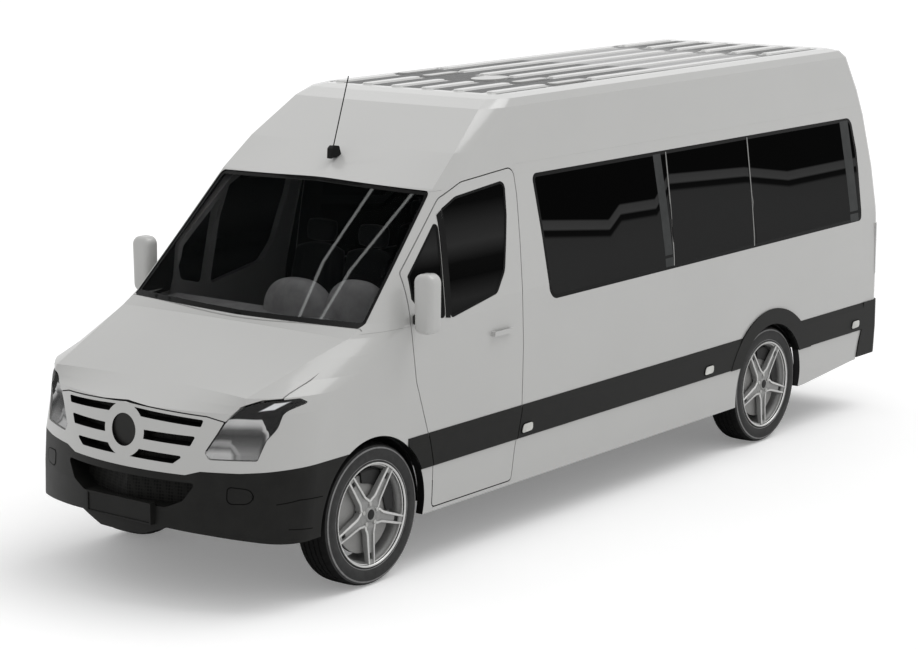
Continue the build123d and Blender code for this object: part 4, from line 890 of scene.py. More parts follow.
def make_steering_wheel(name, radius, grip):
    """Rim with a moulded grip, four spokes and a bare hub pad, built flat and then tilted."""
    verts, faces = [], []
    around, tube = 96, 14
    for k in range(around):
        t = 2 * math.pi * k / around
        swell = 1 + 0.08 * max(0, math.cos(2 * t)) ** 4
        for j in range(tube):
            a = 2 * math.pi * j / tube
            r = radius + grip * GRIP_FULL * swell * math.cos(a)
            verts.append((r * math.cos(t), r * math.sin(t), grip * GRIP_FULL * math.sin(a)))
    for k in range(around):
        for j in range(tube):
            a, b = k * tube, (k + 1) % around * tube
            faces.append([a + j, b + j, b + (j + 1) % tube, a + (j + 1) % tube])
    parts = [make_object("grip", verts, faces, [finish("grip")], None, 60)]
    for turn in ARM_TURNS:
        work = bmesh.new()
        rings = []
        for r, half, low, high in ((0.04, 0.026, -0.03, -0.008), (0.09, 0.017, -0.02, -0.004),
                                   (0.14, 0.0135, -0.012, 0.004), (radius - 0.004, 0.013, -0.008, 0.006)):
            ring = [(-half, low), (-half, high - 0.004), (-half + 0.004, high), (half - 0.004, high),
                    (half, high - 0.004), (half, low)]
            c, s = math.cos(math.radians(turn)), math.sin(math.radians(turn))
            rings.append([work.verts.new((r * c - t * s, r * s + t * c, z)) for t, z in ring])
        bridge(work, rings)
        work.faces.new(rings[0])
        work.faces.new(rings[-1])
        bmesh.ops.recalc_face_normals(work, faces=work.faces)
        parts.append(from_bmesh("arm", work, finish("grey_plastic"), 40))
    hub = bevelled_box("hub_pad", *HUB_PAD, 0.02, finish("dash"), 5)
    column = lathe("sleeve", metres(SLEEVE), 32, [finish("dash")])
    column.data.transform(Matrix.Rotation(math.radians(-90), 4, "Y"))
    wheel = joined(name, parts + [hub, column])
    wheel.data.transform(STEERING_AT)
    return wheel


def shaped(name, outline, y0, y1, edge, material):
    """Rounded body over a front-view outline: its front and back edges curve over by `edge`."""
    rings = []
    steps = 5
    for k in range(steps + 1):
        t = math.pi / 2 * k / steps
        rings.append((edge * (1 - math.sin(t)), y0 + edge * (1 - math.cos(t))))
    for k in range(steps + 1):
        t = math.pi / 2 * (1 - k / steps)
        rings.append((edge * 0.5 * (1 - math.sin(t)), y1 - edge * 0.5 * (1 - math.cos(t))))
    work = bmesh.new()
    loops = [[work.verts.new((p[0], y, p[1])) for p in inward(outline, gap)] for gap, y in rings]
    bridge(work, loops)
    work.faces.new(loops[0])
    work.faces.new(loops[-1])
    bmesh.ops.recalc_face_normals(work, faces=work.faces)
    return from_bmesh(name, work, material, 40)


MIRROR = [(1050, 1428, 40), (1180, 1420, 50), (1186, 1776, 55), (1044, 1766, 50)]
MIRROR_ARM = (0.976, 0.353 + SHIFT, 1.455), (1.075, 0.391 + SHIFT, 1.515)
LAMP = [(540, 892, 10), (636, 1058, 60), (714, 1142, 120), (812, 1181, 150), (938, 1187, 12), (962, 1162, 8),
        (903, 1122, 60), (886, 1035, 120), (846, 972, 60), (815, 860, 15), (560, 853, 25)]
LOWER_BOWL, LOWER_BOWL_R = Vector((0.76, 0.985)), 0.085     # middle x and z, radius
UPPER_BOWL, UPPER_BOWL_R = Vector((0.845, 1.115)), 0.07
BOWL_RIM = 0.022                    # how far in from the lamp's edge the housing reaches its depth


def make_mirror(name):
    """Painted mirror head with its pane, on an arm."""
    outline = inward(rounded(MIRROR, 7), 0.001)
    head = shaped("head", outline, 0.264 + SHIFT, 0.366 + SHIFT, 0.034, finish("paint"))
    pane = shaped("pane", inward(outline, 0.012), 0.3655 + SHIFT, 0.3675 + SHIFT, 0.0008, finish("mirror_glass"))
    arm = bevelled_box("arm", *MIRROR_ARM, 0.012, finish("dark_trim"))
    return joined(name, [head, pane, arm])


def make_headlamp(name):
    """Clear lens over a black upper housing and a lower reflector with two bowls, made bright by painted reflections.
    """
    skin = Skin(["headlamps"], "y", -1)
    outline = inward(rounded(LAMP, 5), TRIM_INSET)
    lens = patch("lens", skin, outline, -0.0004, finish("lens"), 0.03, wall=0.006)
    backing = patch("housing", skin, inward(outline, 0.003), -0.003, finish("housing_with_painted_reflections"), 0.012)
    rim = [Vector(p) for p in outline]

    def apart(p, a, b):
        along = max(0, min(1, (p - a).dot(b - a) / max((b - a).length_squared, 1e-12)))
        return (p - (a + (b - a) * along)).length

    for v in backing.data.vertices:
        p = Vector((v.co.x, v.co.z))
        sink = min(1, min(apart(p, a, b) for a, b in zip(rim, rim[1:] + rim[:1])) / BOWL_RIM)
        bowl = max(0, 1 - ((p - LOWER_BOWL).length / LOWER_BOWL_R) ** 2)
        upper = max(0, 1 - ((p - UPPER_BOWL).length / UPPER_BOWL_R) ** 2)
        fold = 0.010 * math.exp(-((p.y - LOWER_BOWL.y - (p.x - LOWER_BOWL.x) * 0.5) / 0.012) ** 2)
        v.co.y += 0.004 + 0.02 * sink + 0.022 * bowl + 0.016 * upper - fold
        v.co.x -= 0.010 * sink
    smooth_by_angle(backing, 50)
    return joined(name, [lens, backing])


# ---- finishes -----------------------------------------------------------------------------------
CABIN_MIDDLE, CABIN_SHAPE, INSIDE_BELOW = (0, 0, 1.25), (1, 0.3, 1), -0.35     # what faces inwards is lined


def body_panel(name, colour, lining, top_painted_lighter=None):
    """Body paint outside and trim lining inside, told apart by which way the surface faces."""
    material, nodes, links, shader = new_material(name)
    coords = nodes.new("ShaderNodeTexCoord")
    vectors = {"kind": "ShaderNodeVectorMath", "output": "Vector"}
    out = calc(nodes, links, "SUBTRACT", coords.outputs["Object"], CABIN_MIDDLE, **vectors)
    out = calc(nodes, links, "MULTIPLY", out, CABIN_SHAPE, **vectors)
    outwards = calc(nodes, links, "DOT_PRODUCT", out, coords.outputs["Normal"], kind="ShaderNodeVectorMath")
    inside = calc(nodes, links, "LESS_THAN", outwards, INSIDE_BELOW)
    drift = noise_at(nodes, links, 1.7, 2)
    outer = dark_arches(nodes, links, tinted(nodes, links, drift, [c * 0.98 for c in colour], colour))
    # Painted light: faces that look upwards are made paler.
    if top_painted_lighter:
        upwards = mapped(nodes, links, facing(nodes, links, "Z"), 0.6, 0.95, 0.0, 1.0)
        outer = mixed(nodes, links, upwards, outer, top_painted_lighter)
    inner = tinted(nodes, links, noise_at(nodes, links, 320, 3), [c * 0.7 for c in lining], lining)
    links.new(mixed(nodes, links, inside, outer, inner), shader.inputs["Base Color"])
    links.new(mapped(nodes, links, inside, 0.0, 1.0, 0.30, 0.85), shader.inputs["Roughness"])
    links.new(mapped(nodes, links, inside, 0.0, 1.0, 0.55, 0.0), shader.inputs["Coat Weight"])
    shader.inputs["Coat Roughness"].default_value = 0.08
    peel = noise_at(nodes, links, 260, 2)
    bumped(nodes, links, shader, peel.outputs["Fac"], 0.03, 0.0004)
    return material


def paint_with_slot_shade(name, colour):
    """Body paint with painted shade: near-black walls where slots are cut straight through."""
    material = paint(name, colour)
    nodes, links = material.node_tree.nodes, material.node_tree.links
    shader = nodes["Principled BSDF"]
    # The slot walls are painted shade: near-black, without coat, with little specular.
    wall = calc(nodes, links, "LESS_THAN", calc(nodes, links, "ABSOLUTE", facing(nodes, links, "Y")), 0.30)
    outside = shader.inputs["Base Color"].links[0].from_socket
    links.new(mixed(nodes, links, wall, outside, (0.008, 0.008, 0.008)), shader.inputs["Base Color"])
    links.new(mapped(nodes, links, wall, 0.0, 1.0, 0.35, 0.0), shader.inputs["Coat Weight"])
    links.new(mapped(nodes, links, wall, 0.0, 1.0, 0.5, 0.05), shader.inputs["Specular IOR Level"])
    return material


def housing_with_painted_reflections(name):
    """Gloss black above, a satin reflector below whose greys are painted reflections: its bright upper edge, a
    painted shade line at its fold with paler painted reflection below, and a painted highlight, the glint, on the
    black.
    """
    material, nodes, links, shader = new_material(name)
    across = axis_of(nodes, links, "X", mirrored=True)
    height = axis_of(nodes, links, "Z")

    def past(start, slope):
        beyond = calc(nodes, links, "MAXIMUM", calc(nodes, links, "SUBTRACT", across, start), 0.0)
        return calc(nodes, links, "MULTIPLY", beyond, slope)

    def below(top, curve):
        edge = calc(nodes, links, "SUBTRACT", top, past(*curve))
        return calc(nodes, links, "SUBTRACT", edge, height)

    drop = below(REFLECTOR_Z, REFLECTOR_CURVE)
    # painted reflections down the reflector, painted shade at its fold, and a painted highlight on the black above
    reflector = stepped(nodes, links, mapped(nodes, links, drop, *REFLECTOR_BAND, 0, 1), REFLECTOR_REFLECTION_TONES)
    fold = below(FOLD_Z, FOLD_CURVE)
    folded = stepped(nodes, links, mapped(nodes, links, fold, -0.02, 0.07, 0, 1), [
        (0.0, 0.0), (0.2, 1.0), (1.0, 1.0)])
    lower = stepped(nodes, links, mapped(nodes, links, fold, 0.0, 0.06, 0, 1), FOLD_LIGHT_AND_SHADE_TONES)
    silver = mixed(nodes, links, folded, reflector, lower)
    run = calc(nodes, links, "MULTIPLY_ADD", across, GLINT_SLOPE, height)
    ridge = calc(nodes, links, "ABSOLUTE", calc(nodes, links, "SUBTRACT", run, GLINT_LINE))
    reach = calc(nodes, links, "ABSOLUTE", calc(nodes, links, "SUBTRACT", across, GLINT_X))
    glint = calc(nodes, links, "MULTIPLY_ADD", reach, GLINT_TAPER, ridge)
    lit = mapped(nodes, links, glint, *GLINT_EDGE, 1.0, 0.0)
    links.new(mixed(nodes, links, lit, silver, GLINT_TONE), shader.inputs["Base Color"])
    shader.inputs["Roughness"].default_value = 0.22
    shader.inputs["IOR"].default_value = 1.03
    return material


def tail_lens(name):
    """Red lens with a clear reversing band and an amber turn band, ribbed across."""
    material, nodes, links, shader = new_material(name)
    place = mapped(nodes, links, axis_of(nodes, links, "Z"), *TAIL_LAMP_Z, 0.0, 1.0)
    ramp = nodes.new("ShaderNodeValToRGB")
    ramp.color_ramp.interpolation = "CONSTANT"
    red, clear, amber = (0.33, 0.008, 0.008, 1), (0.6, 0.58, 0.57, 1), (0.62, 0.2, 0.02, 1)
    stops = ramp.color_ramp.elements
    stops[0].position, stops[0].color = 0.0, red
    stops[1].position, stops[1].color = 0.3, clear
    for position, colour in ((0.46, red), (0.72, amber), (0.9, red)):
        stops.new(position).color = colour
    links.new(place, ramp.inputs["Fac"])
    around = mapped(nodes, links, axis_of(nodes, links, "Y"), TAIL_CLEAR_Y, TAIL_CLEAR_Y + 0.004, 0.0, 1.0)
    links.new(mixed(nodes, links, around, (0.45, 0.45, 0.44), ramp.outputs["Color"]), shader.inputs["Base Color"])
    shader.inputs["Roughness"].default_value = 0.08
    shader.inputs["Coat Weight"].default_value = 1.0
    coords = nodes.new("ShaderNodeTexCoord")
    wave = nodes.new("ShaderNodeTexWave")
    wave.bands_direction = "Z"
    wave.inputs["Scale"].default_value = 30
    links.new(coords.outputs["Object"], wave.inputs["Vector"])
    bumped(nodes, links, shader, wave.outputs["Fac"], 0.25, 0.001)
    return material


def screen(name, colour, scale):
    """Dark honeycomb mesh behind an air intake."""
    material, nodes, links, shader = new_material(name)
    coords = nodes.new("ShaderNodeTexCoord")
    cells = nodes.new("ShaderNodeTexVoronoi")
    cells.inputs["Scale"].default_value = scale
    cells.inputs["Randomness"].default_value = 0.0
    links.new(coords.outputs["Object"], cells.inputs["Vector"])
    wire = tinted(nodes, links, cells, [c * 0.2 for c in colour], colour, 0.3, 0.5, "Distance")
    links.new(wire, shader.inputs["Base Color"])
    shader.inputs["Roughness"].default_value = 0.6
    shader.inputs["Specular IOR Level"].default_value = 0.1
    bumped(nodes, links, shader, cells.outputs["Distance"], 0.6, 0.003)
    return material


def painted_groove_shade(name, dark, pale):
    """Painted shade on the roof between the ribs: dark at both ends, paler over the middle of the length."""
    material, nodes, links, shader = new_material(name)
    along = mapped(nodes, links, axis_of(nodes, links, "Y"), *GROOVE_Y, 0.0, 1.0)
    grey = stepped(nodes, links, along, [
        (0.0, dark), (0.485, dark), (0.50, pale), (0.78, pale), (0.86, dark), (1.0, dark)])
    dust = noise_at(nodes, links, 60, 5, 0.7)
    links.new(mixed(nodes, links, spread(nodes, links, dust, 0.0, 0.5), grey, (pale, pale, pale)),
              shader.inputs["Base Color"])
    shader.inputs["Roughness"].default_value = 0.7
    shader.inputs["Specular IOR Level"].default_value = 0.1
    return material


def make_materials():
    """Every finish, under the name that pieces ask for it by."""
    paint_colour = tuple(bpy.context.scene.minibus_paint.colour)
    trim = tuple(bpy.context.scene.minibus_paint.trim_colour)
    seat = tuple(bpy.context.scene.minibus_cabin.cloth_colour)
    MATERIALS.update({
        "paint": paint("body_paint_finish", paint_colour, bpy.context.scene.minibus_paint.roughness),
        "panel": body_panel("body_panel_finish", paint_colour, (0.012, 0.012, 0.013)),
        # The roof's upward faces get a paler colour: painted light.
        "roof_panel": body_panel("roof_panel_finish", paint_colour, (0.012, 0.012, 0.013), (0.60, 0.60, 0.59)),
        "door_panel": body_panel("door_panel_finish", paint_colour, (0.55, 0.55, 0.555)),
        "slotted": paint_with_slot_shade("grille_paint_finish", paint_colour),
        "dark_trim": plastic("moulding_finish", trim, 0.45, 0.3, 1100, 0.15),
        "black_trim": plastic("black_trim_finish", (0.006, 0.006, 0.006), 0.5, 0.3, 900, 0.12),
        # Near-black painted shade for gaps, creases and the rings round the side markers.
        "outline": plastic("trim_gap_finish", (0.002, 0.002, 0.002), 0.7, 0.1, 900, 0.05),
        "screen": screen("intake_mesh_finish", (0.011, 0.011, 0.010), 55),
        "disc": plastic("bare_disc_finish", (0.010, 0.010, 0.009), 0.4, 0.1, 600, 0.2),
        "privacy": glass("privacy_glass_finish", (0.003, 0.0035, 0.0035), 1.0, 1.02, side_pane_painted_reflection),
        "clear": glass("door_glass_finish", (0.003, 0.0035, 0.0035), 0.99, 1.03, door_pane_painted_reflection),
        "shield": glass("windshield_finish", (0.003, 0.0035, 0.0035), 0.36, 1.05, windshield_painted_reflections),
        "frit": plastic("glass_border_finish", (0.003, 0.003, 0.003), 0.25, 0.05, 400, 0.08),
        "post": plastic("pane_frame_finish", (0.04, 0.042, 0.042), 0.5, 0.1, 400, 0.1),
        "seal": rubber("window_seal_finish", (0.003, 0.003, 0.003), 0.6, 0.1),
        "divider": plastic("pane_joint_finish", (0.22, 0.22, 0.215), 0.5, 0.1, 500),
        "lens": glass("headlamp_lens_finish", (0.6, 0.6, 0.6), 0.05),
        "housing_with_painted_reflections": housing_with_painted_reflections("headlamp_reflector_finish"),
        "tail": tail_lens("tail_lens_finish"),
        "marker": plastic("side_marker_finish", (0.60, 0.60, 0.57), 0.2, 0.1, 300, 0.4),
        "tyre": rubber("tyre_wall_finish", (0.026, 0.026, 0.026), 0.65, 0.2),
        "tread": rubber("tyre_tread_finish", (0.006, 0.006, 0.006), 0.8, 0.08),
        # Pale grey on the sidewall's thin ridges: painted highlight.
        "tyre_mark": rubber("tyre_rim_line_finish", (0.16, 0.16, 0.16), 0.6, 0.3),
        "alloy": metal("machined_alloy_finish", (0.64, 0.64, 0.63), 0.4, 60),
        "alloy_dark": metal("painted_alloy_finish", (0.31, 0.31, 0.305), 0.5, 90, 0.5),
        # Near-black: painted shade in the wheels' slots and lip groove, and the centre cap's own colour.
        "dark_cap_and_painted_shade": plastic("wheel_recess_finish", (0.012, 0.012, 0.012), 0.5, 0.2, 500, 0.2),
        "steel": metal("bolt_finish", (0.48, 0.48, 0.47), 0.4, 200),
        "brake_disc": metal("brake_disc_finish", (0.33, 0.327, 0.32), 0.6, 150, 0.2),
        "brake_hat": metal("brake_hat_finish", (0.02, 0.02, 0.02), 0.6, 80, 0.3),
        "chassis": plastic("underbody_finish", (0.007, 0.007, 0.007), 0.7, 0.5, 200, 0.1),
        "iron": metal("cast_iron_finish", (0.10, 0.098, 0.094), 0.6, 70, 0.8),
        "cloth": cloth("seat_cloth_finish", [c * 0.5 for c in seat], seat),
        "floor": rubber("floor_covering_finish", (0.035, 0.035, 0.038), 0.8),
        "dash": plastic("dashboard_finish", (0.58, 0.58, 0.585), 0.6, 0.45, 700),
        "grip": plastic("wheel_grip_finish", (0.40, 0.40, 0.405), 0.5, 0.5, 1200),
        "grey_plastic": plastic("grey_plastic_finish", (0.14, 0.14, 0.145), 0.5, 0.3, 700),
        "mirror_glass": metal("mirror_pane_finish", (0.75, 0.76, 0.77), 0.05, 4),
        # Painted shade between the roof ribs.
        "groove": painted_groove_shade("roof_groove_painted_shade", 0.10, 0.44),
    })


SLOT_FINISH = {
    "body_paint": "panel", "black_trim": "black_trim", "grey_trim": "dark_trim", "privacy_glass": "privacy",
    "clear_glass": "clear", "lamp_lens": "lens", "red_lens": "tail", "marker_lens": "marker", "amber_lens": "marker",
    "tyre_rubber": "tyre", "alloy": "alloy", "chassis_black": "chassis", "bare_metal": "iron", "seat_cloth": "cloth",
    "floor_covering": "floor", "chrome": "disc"}
NODE_FINISH = {
    "windshield": "shield", "dashboard": "dash", "grille_backing": "screen", "intake_backing": "screen",
    "grille_disc": "disc", "bumper_front": "dark_trim", "bumper_rear": "dark_trim", "hood": "paint",
    "grille": "slotted", "roof": "roof_panel",
    "fender_left": "paint", "fender_right": "paint", "door_left": "door_panel", "door_right": "door_panel"}


# ---- settings -----------------------------------------------------------------------------------
class MINIBUS_PG_paint(bpy.types.PropertyGroup):
    colour: bpy.props.FloatVectorProperty(
        name="Body colour", description="Colour of the painted panels", subtype="COLOR", size=3, min=0, max=1,
        default=(0.475, 0.475, 0.465))
    roughness: bpy.props.FloatProperty(
        name="Body roughness", description="How dull the paint is under its clear coat", default=0.32, min=0, max=1)
    trim_colour: bpy.props.FloatVectorProperty(
        name="Trim colour", description="Colour of bumpers and mouldings", subtype="COLOR", size=3, min=0, max=1,
        default=(0.0095, 0.0095, 0.0088))


class MINIBUS_PG_wheels(bpy.types.PropertyGroup):
    tread_depth: bpy.props.FloatProperty(
        name="Tread depth", description="Depth of the cuts across the tread", default=0.006, min=0, max=0.01,
        subtype="DISTANCE", unit="LENGTH")
    tread_segments: bpy.props.IntProperty(
        name="Tread segments", description="Facets round a tyre, six to each tread block", default=216,
        min=96, max=360)
    spokes: bpy.props.IntProperty(name="Spokes", description="Twin spokes of a wheel", default=5, min=3, max=8)
    bolts: bpy.props.IntProperty(name="Wheel bolts", description="Bolts that hold a wheel", default=5, min=4, max=8)


class MINIBUS_PG_cabin(bpy.types.PropertyGroup):
    cloth_colour: bpy.props.FloatVectorProperty(
        name="Seat colour", description="Colour of the seat cloth", subtype="COLOR", size=3, min=0, max=1,
        default=(0.03, 0.032, 0.036))
    pad_cuts: bpy.props.IntProperty(
        name="Pad detail", description="Facets along each edge of a seat pad", default=22, min=8, max=40)
    fill: bpy.props.FloatProperty(
        name="Pad fill", description="How tightly the pads are stuffed", default=0.85, min=0, max=1, subtype="FACTOR")
    wheel_radius: bpy.props.FloatProperty(
        name="Steering wheel radius", description="To the middle of the grip", default=0.186, min=0.15, max=0.2,
        subtype="DISTANCE", unit="LENGTH")


class MINIBUS_PG_trim(bpy.types.PropertyGroup):
    border: bpy.props.FloatProperty(
        name="Glass border", description="Width of the black border round bonded panes", default=0.024, min=0.005,
        max=0.06, subtype="DISTANCE", unit="LENGTH")
    seal: bpy.props.FloatProperty(
        name="Window seal", description="Width of the rubber seal round door panes", default=0.016, min=0.004,
        max=0.03,
        subtype="DISTANCE", unit="LENGTH")


class MINIBUS_PG_stage(bpy.types.PropertyGroup):
    ambient: bpy.props.FloatProperty(
        name="Ambient level", description="Strength of the even light from all round", default=0.70, min=0, max=2)
    floor_lift: bpy.props.FloatProperty(
        name="Floor lift", description="How much brighter the camera sees the floor", default=0.20, min=0, max=1)
    key: bpy.props.FloatProperty(
        name="Key light", description="Strength of the soft light from above", default=0.95, min=0, max=10)


# ---- stage: metres, millimetres of lens and degrees ----------------------------------------------
CAMERA_AT, CAMERA_LENS, CAMERA_DOWN, CAMERA_TURN = (9.4317, -12.5828, 4.0963), 94.65, 11.084, 37.747
KEY_SOFTNESS, KEY_TILT = 42, (-24, 15)
FLOOR_REACH = 160


# ---- operators ----------------------------------------------------------------------------------
class MINIBUS_OT_finishes(bpy.types.Operator):
    """Make every finish and give the solids theirs"""
    bl_idname = "minibus.finishes"
    bl_label = "Finishes"

    def execute(self, context):
        make_materials()
        slots = {part["node"]: part["material_slot"] for part in frame["record"]["subparts"]}
        for node, obj in frame["nodes"].items():
            chosen = NODE_FINISH.get(node) or SLOT_FINISH[slots[node]]
            obj.data.materials.clear()
            obj.data.materials.append(finish(chosen))
        return {"FINISHED"}


class MINIBUS_OT_tyres(bpy.types.Operator):
    """Build the four tyres with their tread"""
    bl_idname = "minibus.tyres"
    bl_label = "Tyres"

    def execute(self, context):
        settings = context.scene.minibus_wheels
        for place, name, y, side in CORNERS:
            tyre = make_tyre(f"tyre_{place}_{name}_rubber", settings.tread_segments, settings.tread_depth)
            placed(tyre, HUB_X, y, HUB_Z, side)
            keep(tyre, f"wheel_{place}_{name}", [f"tyre_{place}_{name}"])
        return {"FINISHED"}


class MINIBUS_OT_wheels(bpy.types.Operator):
    """Build the four alloy wheels with their hubs, bolts, brake discs and calipers"""
    bl_idname = "minibus.wheels"
    bl_label = "Wheels"

    def execute(self, context):
        settings = context.scene.minibus_wheels
        for place, name, y, side in CORNERS:
            wheel = make_wheel(f"wheel_{place}_{name}_alloy", settings.spokes, settings.bolts)
            placed(wheel, HUB_X, y, HUB_Z, side)
            keep(wheel, f"wheel_{place}_{name}", [f"rim_{place}_{name}"])
            caliper = placed(make_caliper(f"caliper_{place}_{name}"), HUB_X, y, HUB_Z, side)
            keep(caliper, f"knuckle_{name}" if place == "front" else "body")
        return {"FINISHED"}


class MINIBUS_OT_headlamps(bpy.types.Operator):
    """Build the headlamps: lens, housing and reflectors"""
    bl_idname = "minibus.headlamps"
    bl_label = "Headlamps"

    def execute(self, context):
        keep_pair(make_headlamp("headlamp_left"), "body", ["headlamps"])
        return {"FINISHED"}


class MINIBUS_OT_mirrors(bpy.types.Operator):
    """Build the outside mirrors"""
    bl_idname = "minibus.mirrors"
    bl_label = "Mirrors"

    def execute(self, context):
        keep_pair(make_mirror("mirror_left_housing"), "front_door_left", ["mirror_left"])
        return {"FINISHED"}


class MINIBUS_OT_glazing(bpy.types.Operator):
    """Lay the black borders, seals and pane joints on the glass"""
    bl_idname = "minibus.glazing"
    bl_label = "Glass borders"

    def execute(self, context):
        settings = context.scene.minibus_trim

        def side_view(points):
            return rounded([(y + SHIFT_MM, z, r) for y, z, r in points])

        band = inward(side_view(WINDOW_BAND), TRIM_INSET)
        skin = Skin(["side_glass"], "x", 1)
        edge = border("side_glass_border_left", skin, band, settings.border, 0.0004, finish("frit"))
        strips = [edge]
        for foot, head in PANE_JOINTS:
            outline = [((foot - 6) / 1000 + SHIFT, PANE_FOOT), ((foot + 6) / 1000 + SHIFT, PANE_FOOT),
                       ((head + 6) / 1000 + SHIFT, PANE_HEAD), ((head - 6) / 1000 + SHIFT, PANE_HEAD)]
            strips.append(patch("pane_joint", skin, outline, 0.0020, finish("divider"), 0.05))
        for low, high in PANE_POSTS:
            low, high = (low + SHIFT_MM) / 1000, (high + SHIFT_MM) / 1000
            outline = [(low, PANE_FOOT), (high, PANE_FOOT), (high, POST_HEAD), (low, POST_HEAD)]
            strips.append(patch("pane_post", skin, outline, 0.0012, finish("post"), 0.1))
        keep_pair(joined("side_glass_trim_left", strips), "body")

        front = Skin(["windshield"], "y", -1)
        shield = border("windshield_border", front, inward(rounded(WINDSHIELD), TRIM_INSET), settings.border, 0.0004,
                        finish("frit"))
        keep(shield, "body")

        door_skin = Skin(["door_glass_left"], "x", 1)
        seals = [border("seal", door_skin, inward(side_view(pane), TRIM_INSET), settings.seal, 0.003, finish("seal"),
                        0.03)
                 for pane in (DOOR_PANE, QUARTER_PANE)]
        post = [((y + SHIFT_MM) / 1000, z / 1000) for y, z in DOOR_POST]
        seals.append(patch("post", Skin(["door_left"], "x", 1), post, 0.0035, finish("seal"), 0.05, wall=0.004))
        keep_pair(joined("door_window_seals_left", seals), "front_door_left")

        tail_skin = Skin(["rear_glass_left"], "y", 1)
        tail = border("rear_glass_border_left", tail_skin, inward(rounded(REAR_PANE), TRIM_INSET), settings.border,
                      0.0004, finish("frit"))
        keep_pair(tail, "rear_door_left")
        return {"FINISHED"}


class MINIBUS_OT_roof(bpy.types.Operator):
    """Lay strips of painted shade in the grooves between the roof ribs, with the short ribs and the oval boss"""
    bl_idname = "minibus.roof"
    bl_label = "Roof grooves"

    def execute(self, context):
        skin = Skin(["roof"], "z", 1)
        strips = [(low, high, *ROOF_LENGTH) for low, high in ROOF_LINES]
        strips += [(*line, *gap) for line, gaps in zip(RIB_LINES, RIB_GAPS) for gap in gaps]

        def strip(x0, x1, y0, y1, side, corner, steps):
            low, high = sorted((side * x0, side * x1))
            y0, y1 = y0 + SHIFT_MM, y1 + SHIFT_MM
            return rounded([(low, y0, corner), (high, y0, corner), (high, y1, corner), (low, y1, corner)], steps)

        # The strips in the grooves are painted shade; the roof under them is body colour.
        laid = [patch("groove", skin, strip(*row, side, GROOVE_CORNER, 3), 0.0008, finish("groove"), 0.15)
                for row in strips for side in ((1,) if row[0] < 0 else (1, -1))]
        keep(joined("roof_groove_shade_strips", laid), "body")
        ribs = [patch("rib", skin, strip(*row, side, RIB_CORNER, 5), RAISED, finish("paint"), 0.1, RAISED_WALL)
                for row in SHORT_RIBS for side in (1, -1)]
        keep(joined("short_ribs", ribs), "body")
        x, y, half_x, half_y = ROOF_BOSS
        oval = [(x / 1000 + half_x / 1000 * math.cos(math.tau * k / 40),
                 y / 1000 + SHIFT + half_y / 1000 * math.sin(math.tau * k / 40)) for k in range(40)]
        keep(patch("roof_boss", skin, oval, RAISED, finish("paint"), 0.06, RAISED_WALL), "body")
        return {"FINISHED"}


class MINIBUS_OT_bumper(bpy.types.Operator):
    """Build the fog lamp blanks and the creases of the front bumper; the creases and the gap round each blank are
    lines of painted shade
    """
    bl_idname = "minibus.bumper"
    bl_label = "Bumper trim"

    def execute(self, context):
        skin = Skin(["bumper_front"], "y", -1)
        blank = patch("fog_lamp_blank_left", skin, rounded(FOG_LAMP_BLANK, 5), 0.002, finish("dark_trim"), 0.03,
                      wall=0.004)
        flank = Skin(["bumper_front"], "x", 1)
        crease = joined("bumper_crease_left", [
            patch("crease", flank, outline, 0.0012, finish("outline"), 0.04) for outline in BUMPER_CREASES])
        keep_pair(crease, "body")
        # painted shade in the gap round the blank
        ring = border("gap", skin, rounded(FOG_LAMP_GAP, 5), 0.006, 0.0016, finish("outline"))
        keep_pair(joined("fog_lamp_blank_left", [blank, ring]), "body")
        return {"FINISHED"}


class MINIBUS_OT_side_markers(bpy.types.Operator):
    """Build the marker lamps on the side mouldings, each ringed with painted shadow"""
    bl_idname = "minibus.side_markers"
    bl_label = "Side markers"

    def execute(self, context):
        skin = Skin(["side_mouldings"], "x", 1)
        lamps = []
        for y in MARKERS_Y:
            outline = rounded([(a + y + SHIFT_MM, b + MARKER_Z, r) for a, b, r in SIDE_MARKER], 5)
            lamps.append(patch("marker", skin, outline, 0.008, finish("marker"), 0.05, wall=0.010))
            # a near-black ring round the lens: painted shadow
            lamps.append(patch("bezel", skin, inward(outline, -0.006), 0.003, finish("outline"), 0.05, wall=0.005))
        keep_pair(joined("side_markers_left", lamps), "body", ["side_markers"])
        return {"FINISHED"}


class MINIBUS_OT_dash_hoods(bpy.types.Operator):
    """Build the two moulded hoods over the instruments"""
    bl_idname = "minibus.dash_hoods"
    bl_label = "Instrument hoods"

    def execute(self, context):
        hoods = []
        for x, y, z, wide, deep, tall in DASH_HOODS:
            verts = []
            rings, sides = 14, 40
            for k in range(rings + 1):
                up = math.pi / 2 * k / rings
                for j in range(sides):
                    turn = math.tau * j / sides
                    c, t = math.cos(turn), math.sin(turn)
                    flat = (abs(c) ** HOOD_SQUARE + abs(t) ** HOOD_SQUARE) ** (-1 / HOOD_SQUARE)
                    out = math.cos(up) ** HOOD_ROUND
                    lean = HOOD_LEAN * deep * math.sin(up)
                    verts.append((x + wide * out * flat * c, y + deep * out * flat * t + lean,
                                  z + tall * math.sin(up)))
            faces = ring_faces(rings + 1, sides)
            faces.append(list(range(sides))[::-1])
            hoods.append(make_object("hood_shell", verts, faces, [finish("dash")], None, 40))
        keep(joined("instrument_hoods", hoods), "body")
        return {"FINISHED"}


